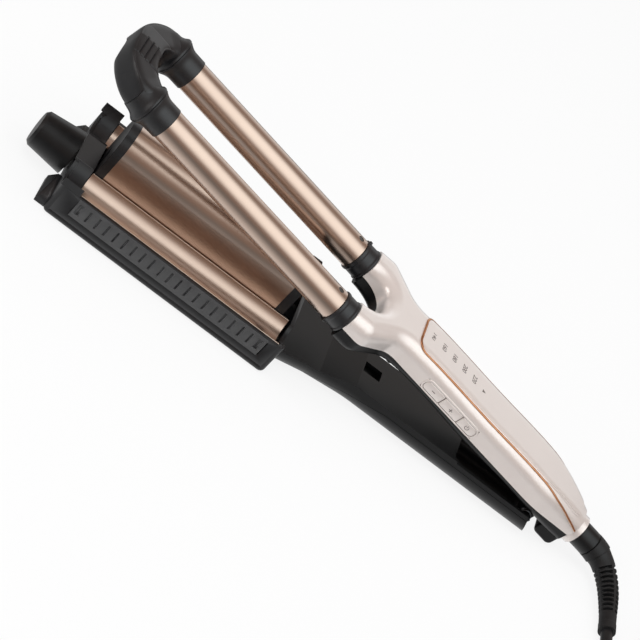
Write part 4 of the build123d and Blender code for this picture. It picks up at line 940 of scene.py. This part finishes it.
# Open line with its corners (x, y, radius) cut round, each a quadratic Bezier over the cut of
# radius / tan(half angle), its middle point eased in from the corner.
def roundedLine(corners):
    corners = np.array(corners, float)
    spots = corners[:, :2]
    before = unit(np.roll(spots, 1, 0) - spots)
    after = unit(np.roll(spots, -1, 0) - spots)
    half = np.arccos(np.clip((before * after).sum(-1), -1, 1)) / 2
    cut = (corners[:, 2] / np.tan(half))[:, None]
    t = np.linspace(0, 1, 12)[None, :, None]
    start, end = spots + before * cut, spots + after * cut
    middle = spots[:, None] * trim["hold"] + (start + end)[:, None] * trim["ease"]
    bend = (1 - t) ** 2 * start[:, None] + 2 * t * (1 - t) * middle + t ** 2 * end[:, None]
    return np.concatenate([spots[:1], bend[1:-1].reshape(-1, 2), spots[-1:]])


# The plan line laid on the handle's face, its height smoothed along it by (a + 2b + c) / 4.
def faceLine(line, names):
    path, _ = evenPath(np.c_[line, np.zeros(len(line))], trim["step"])
    height = np.array([panelHeight(names, x, y) for x, y, _ in path])
    for _ in range(trim["passes"]):
        height[1:-1] = (height[:-2] + 2 * height[1:-1] + height[2:]) / 4
    path[:, 2] = height
    return path


# Copper line: an oval bead round the panel's front and back to the end ring; the groove round the panel is
# filled by a pearl seam of the trim's own shape.
def makeTrim():
    half = trim["line"]
    route = roundedLine(half + [(x, -y, radius) for x, y, radius in half[::-1]])
    path = faceLine(route, ["panel_trim", "top_panel", "handle_top_shell"])
    path[:, 2] += trim["lift"]
    bead = closedTube(ovalSweep(path, trim["half"], trim["rise"], 16))
    piece = makePiece("panelTrimBead", [bead], onHandle, 50)
    fixNormals(piece)
    finishPiece(copyNode("panel_trim", "panelSeam"), "handle", "pearlLacqueredAbs", "pearl_plastic")
    finishPiece(piece, "handle", "copperPlatedAbs", "copper_trim", "panel_trim")


makeTrim()
print("hair waver: marks and trim made")

keys = {
    "button_minus": {"span": (-61.7, -74.15), "corners": (2.4, 0.7, 0.7, 2.4), "sign": "−"},
    "button_plus": {"span": (-74.45, -87.55), "corners": (0.7, 0.7, 0.7, 0.7), "sign": "+"},
    "button_power": {"span": (-87.85, -98.7), "corners": (0.7, 2.4, 2.4, 0.7), "sign": "power"},
}
keyForm = {
    "low": 0.85, "high": 6.45, "wall": 15.3, "skirt": 0.5, "face": 16.95, "bevel": 0.4, "bevelStart": 0.3,
    "dome": 0.3, "domeInsets": (0.9, 1.5, 2.1, 2.6),
    "signSize": 4.6, "signProud": 0.02,
    "powerRadius": 1.15, "powerOpen": (130, 410), "powerStroke": (0.1, 1.5),
    "powerHalf": 0.15, "powerRise": 0.06,
    "bezelOut": 0.62, "bezelHalf": 0.55, "bezelHigh": 0.5, "bezelSquare": 0.6, "bezelFace": 16.5,
    "bezelRound": 3.0, "bezelStep": 0.5,
    # the gap round each key, and the painted shade line that runs in it
    "gap": 0.12, "gapFace": 16.75, "shadeLineRadius": 0.14, "shadeLineStep": 0.4,
}


# Outline points of a rectangle, each corner an arc of its own radius, drawn inset; either end may come first.
def roundedPlate(x0, x1, z0, z1, corners, inset=0.0, steps=7):
    middles = [(x0, z1), (x1, z1), (x1, z0), (x0, z0)]
    signs = [(1, -1), (-1, -1), (-1, 1), (1, 1)] if x0 < x1 else [(-1, -1), (1, -1), (1, 1), (-1, 1)]
    arc = np.linspace(0, math.pi / 2, steps)
    points = []
    for (x, z), (right, up), radius in zip(middles, signs, corners):
        radius = max(radius - inset, 0.05)  # never quite sharp
        turned = arc if (right * up) * (1 if x0 < x1 else -1) < 0 else math.pi / 2 - arc
        centre = np.array([x + right * (radius + inset), z + up * (radius + inset)])
        points.append(centre + radius * np.stack([-right * np.cos(turned), -up * np.sin(turned)], -1))
    return np.concatenate(points)


# Open ring and a stroke through its gap, both thin flat rods.
def powerSign():
    arc = np.linspace(*np.radians(keyForm["powerOpen"]), 40)
    radius = keyForm["powerRadius"]
    ring = np.stack([radius * np.cos(arc), radius * np.sin(arc), 0 * arc], -1)
    stroke = np.stack([np.zeros(8), np.linspace(*keyForm["powerStroke"], 8), np.zeros(8)], -1)
    half, rise = keyForm["powerHalf"], keyForm["powerRise"]
    return [closedTube(ovalSweep(path, half, rise, 10)) for path in (ring, stroke)]


# Raised sign in the middle of a key's face: drawn in the plane, then stood up with its top to +z.
def makeSign(name, key):
    if key["sign"] == "power":
        outlines = powerSign()
    else:
        flat, faces = outlineMesh(key["sign"], keyForm["signSize"])
        flat[:, :2] -= (flat[:, :2].max(0) + flat[:, :2].min(0)) / 2
        outlines = [(flat, faces)]
    x, z = sum(key["span"]) / 2, (keyForm["low"] + keyForm["high"]) / 2
    y = keyForm["face"] + keyForm["dome"] + keyForm["signProud"]
    blocks = [(np.stack([x - flat[:, 0], y + flat[:, 2], z + flat[:, 1]], -1), faces)
              for flat, faces in outlines]
    sign = makePiece(name + "Sign", blocks, onHandle, 30)
    fixNormals(sign)
    finishPiece(sign, name + "_key", "padPrintedInk", "black_plastic")


# Key cap: rings of its rounded outline, bevelled, with a face domed as 1 - (1 - inset / half)^2.
def makeKey(name, key):
    wall, face, bevel = keyForm["wall"], keyForm["face"], keyForm["bevel"]
    half = (keyForm["high"] - keyForm["low"]) / 2
    start = bevel * keyForm["bevelStart"]
    levels = [(0.0, wall), (0.0, wall + keyForm["skirt"]), (0.0, face - bevel), (start, face - start)]
    levels += [(inset, face + keyForm["dome"] * (1 - (1 - inset / half) ** 2))
               for inset in (bevel, *keyForm["domeInsets"])]
    rings = []
    for inset, y in levels:
        plate = roundedPlate(*key["span"], keyForm["low"], keyForm["high"], key["corners"], inset)
        rings.append(np.stack([plate[:, 0], np.full(len(plate), y), plate[:, 1]], -1))
    piece = makePiece(name + "Cap", [closedTube(np.array(rings))], onHandle, 40)
    fixNormals(piece)
    finishPiece(piece, name + "_key", "pearlLacqueredAbs", "pearl_plastic", name)
    makeSign(name, key)


# Raised frame round the three keys: a band swept along its outline, y = high * sign(sin) |sin|^square.
def makeBezel():
    reach = keyForm["bezelOut"]
    plate = roundedPlate(keys["button_power"]["span"][1] - reach, keys["button_minus"]["span"][0] + reach,
                         keyForm["low"] - reach, keyForm["high"] + reach,
                         [keyForm["bezelRound"]] * 4, 0.0, 12)
    standing = np.concatenate([plate, plate[:1]]) @ np.array([[1, 0, 0], [0, 0, 1]])
    path = evenPath(standing, keyForm["bezelStep"])[0][:-1]
    path[:, 1] = keyForm["bezelFace"]
    looped = np.concatenate([path[-1:], path, path[:1]])
    angle = ringAngles(16)[None, :] + 0 * looped[:, :1]
    side = np.cross(unit(np.gradient(looped, axis=0)), (0.0, 1.0, 0.0))
    rings = looped[:, None] + (keyForm["bezelHalf"] * np.cos(angle))[..., None] * side[:, None]
    wave = np.sin(angle)
    rings[..., 1] += keyForm["bezelHigh"] * np.sign(wave) * np.abs(wave) ** keyForm["bezelSquare"]
    piece = makePiece("keyBezel", [loopedTube(rings[1:-1])], onHandle, 50)
    fixNormals(piece)
    return finishPiece(piece, "handle", "pearlLacqueredAbs", "pearl_plastic")


# Thin grey-pink line round each key, in its gap: painted shade for the shadow there.
def makeGapShade():
    blocks = []
    for key in keys.values():
        plate = roundedPlate(*key["span"], keyForm["low"], keyForm["high"], key["corners"], -keyForm["gap"])
        path = np.stack([plate[:, 0], np.full(len(plate), keyForm["gapFace"]), plate[:, 1]], -1)
        path, _ = evenPath(np.concatenate([path, path[:1]]), keyForm["shadeLineStep"])
        looped = np.concatenate([path[-2:-1], path[:-1], path[:1]])
        radius = keyForm["shadeLineRadius"]
        blocks.append(loopedTube(ovalSweep(looped, radius, radius, 10, (0, 1, 0))[1:-1]))
    piece = makePiece("keyGapShade", blocks, onHandle, 60)
    fixNormals(piece)
    return finishPiece(piece, "handle", "gapShadeGrey", "black_rubber")


for keyName, keyLook in keys.items():
    makeKey(keyName, keyLook)
makeBezel()
makeGapShade()
print("hair waver: keys made")

# What metal mirrors: a long soft box over the rear at the key side, a pale wall far behind, a dim warm room
# between, and a floor that is pale from above and dim from aslant.
studio = {
    "boxToward": (-0.46, 0.39, 0.8), "boxSpan": (0.7, 0.985), "box": (1.78, 1.88, 1.9),
    "wallToward": (-0.1, -0.99, 0.05), "wallSpan": (0.7, 1.0), "wall": (0.95, 0.95, 0.95),
    "dim": (0.34, 0.26, 0.22), "fill": 0.4,
    "floorNear": 1.05, "floorFar": 0.25, "floorSlant": 0.75, "floorSize": 6.0, "floorDrop": 0.0002,
    "paper": "#F4F4F4", "paperPale": "#F8F8F8", "paperGlow": 0.86,
}


# The share of rays that the camera sends, and of those that a mirror or a clear piece sends on.
def rayKinds(tree):
    rays = addNode(tree, "LightPath").outputs
    mirrored = addNode(tree, "Math", {"operation": "MAXIMUM"}, i0=rays["Is Glossy Ray"],
                       i1=rays["Is Transmission Ray"]).outputs[0]
    return rays["Is Camera Ray"], mirrored


# Matt white paper, a touch mottled: the camera sees mostly its glow with the shadow on it, metal sees it at
# its mirror level.
def makeStage():
    size, drop = studio["floorSize"], -studio["floorDrop"]
    floor = bpy.data.meshes.new("floor")
    floor.from_pydata([(-size, -size, drop), (size, -size, drop), (size, size, drop), (-size, size, drop)],
                      [], [(0, 1, 2, 3)])
    piece = addObject("floor", floor)
    material, tree = newMaterial("paperSweep")
    place = addNode(tree, "TexCoord").outputs["Object"]
    cloud = addNode(tree, "TexNoise", {"Scale": 3.0}, Vector=place).outputs["Fac"]
    paper = addNode(tree, "Mix", {"data_type": "RGBA", "6": colour(studio["paper"]),
                    "7": colour(studio["paperPale"])}, i0=cloud).outputs[2]
    matt = addNode(tree, "BsdfDiffuse", {}, Color=paper)
    camera, mirrored = rayKinds(tree)
    slant = addNode(tree, "LayerWeight", {"Blend": 0.5}).outputs["Facing"]
    mirrorLevel = addNode(tree, "MapRange", {"From Max": studio["floorSlant"], "To Min": studio["floorNear"],
                          "To Max": studio["floorFar"]}, Value=slant).outputs[0]
    level = addNode(tree, "Math", {"operation": "MAXIMUM"}, i0=camera, i1=mirrorLevel).outputs[0]
    glow = addNode(tree, "Emission", {"Color": (1, 1, 1, 1)}, Strength=level)
    share = addNode(tree, "Math", {"operation": "MULTIPLY_ADD", "1": studio["paperGlow"]},
                    i0=camera, i2=mirrored).outputs[0]
    blend = addNode(tree, "MixShader", {}, i0=share, i1=matt.outputs[0], i2=glow.outputs[0])
    addNode(tree, "OutputMaterial", Surface=blend.outputs[0])
    floor.materials.append(material)


# White to the camera, an even fill to matt surfaces, the room to mirrors: each bright area is a smooth step
# of the dot product of the ray with the way to it.
def makeWorld():
    world = bpy.data.worlds.new("studio")
    bpy.context.scene.world = world
    world.use_nodes = True
    tree = world.node_tree
    tree.nodes.clear()
    camera, mirrored = rayKinds(tree)
    seen = addNode(tree, "Math", {"operation": "MAXIMUM"}, i0=camera, i1=mirrored).outputs[0]
    room = addNode(tree, "TexCoord").outputs["Generated"]
    tone = None
    for area in ("wall", "box"):
        facing = addNode(tree, "VectorMath", {"operation": "DOT_PRODUCT", "1": studio[area + "Toward"]},
                         i0=room).outputs["Value"]
        edge, core = studio[area + "Span"]
        soft = addNode(tree, "MapRange", {"interpolation_type": "SMOOTHSTEP", "From Min": edge,
                       "From Max": core}, Value=facing).outputs[0]
        mixed = addNode(tree, "Mix", {"data_type": "RGBA", "6": (*studio["dim"], 1.0),
                        "7": (*studio[area], 1.0)}, i0=soft)
        if tone:
            tree.links.new(tone, mixed.inputs[6])
        tone = mixed.outputs[2]
    plain = addNode(tree, "MapRange", {"To Min": studio["fill"], "To Max": 1.0},
                    Value=seen).outputs[0]
    light = addNode(tree, "Mix", {"data_type": "RGBA"}, i0=mirrored, i6=plain, i7=tone).outputs[2]
    back = addNode(tree, "Background", {"Strength": 1.0}, Color=light)
    addNode(tree, "OutputWorld", Surface=back.outputs[0])


lamps = {
    "overheadBox": {"place": (0.0, 0.15, 1.1), "aim": (0, 0, 0.03), "size": (1.4, 0.75), "power": 6.0},
    "frontBox": {"place": (0.5, 1.1, 0.75), "aim": (0, 0, 0.03), "size": (0.8, 0.8), "power": 4.2},
    "tipBox": {"place": (1.25, 0.25, 0.45), "aim": (0.1, 0, 0.05), "size": (0.6, 0.6), "power": 3.0,
               "mirrored": True},
    "rearBox": {"place": (-0.7, -0.8, 0.9), "aim": (0, 0, 0.03), "size": (0.6, 0.6), "power": 1.6},
}


# Soft boxes: each lamp's back axis points from its aim to its place.
def makeLamps():
    for name, lamp in lamps.items():
        light = bpy.data.lights.new(name, "AREA")
        light.shape = "RECTANGLE"
        light.size, light.size_y = lamp["size"]
        light.energy = lamp["power"]
        piece = addObject(name, light)
        place = np.array(lamp["place"])
        back = unit(place - np.array(lamp["aim"]))
        overhead = abs(back[2]) > 0.99  # such a lamp takes x as its side
        side = np.array([1.0, 0.0, 0.0]) if overhead else unit(np.cross((0.0, 0.0, 1.0), back))
        piece.matrix_world = placedMatrix([side, np.cross(back, side), back], place)
        piece.visible_glossy = lamp.get("mirrored", False)


makeStage()
makeWorld()
makeLamps()
bpy.context.scene.view_settings.view_transform = "Standard"
print("hair waver: stage and light made")

print("hair waver: done")
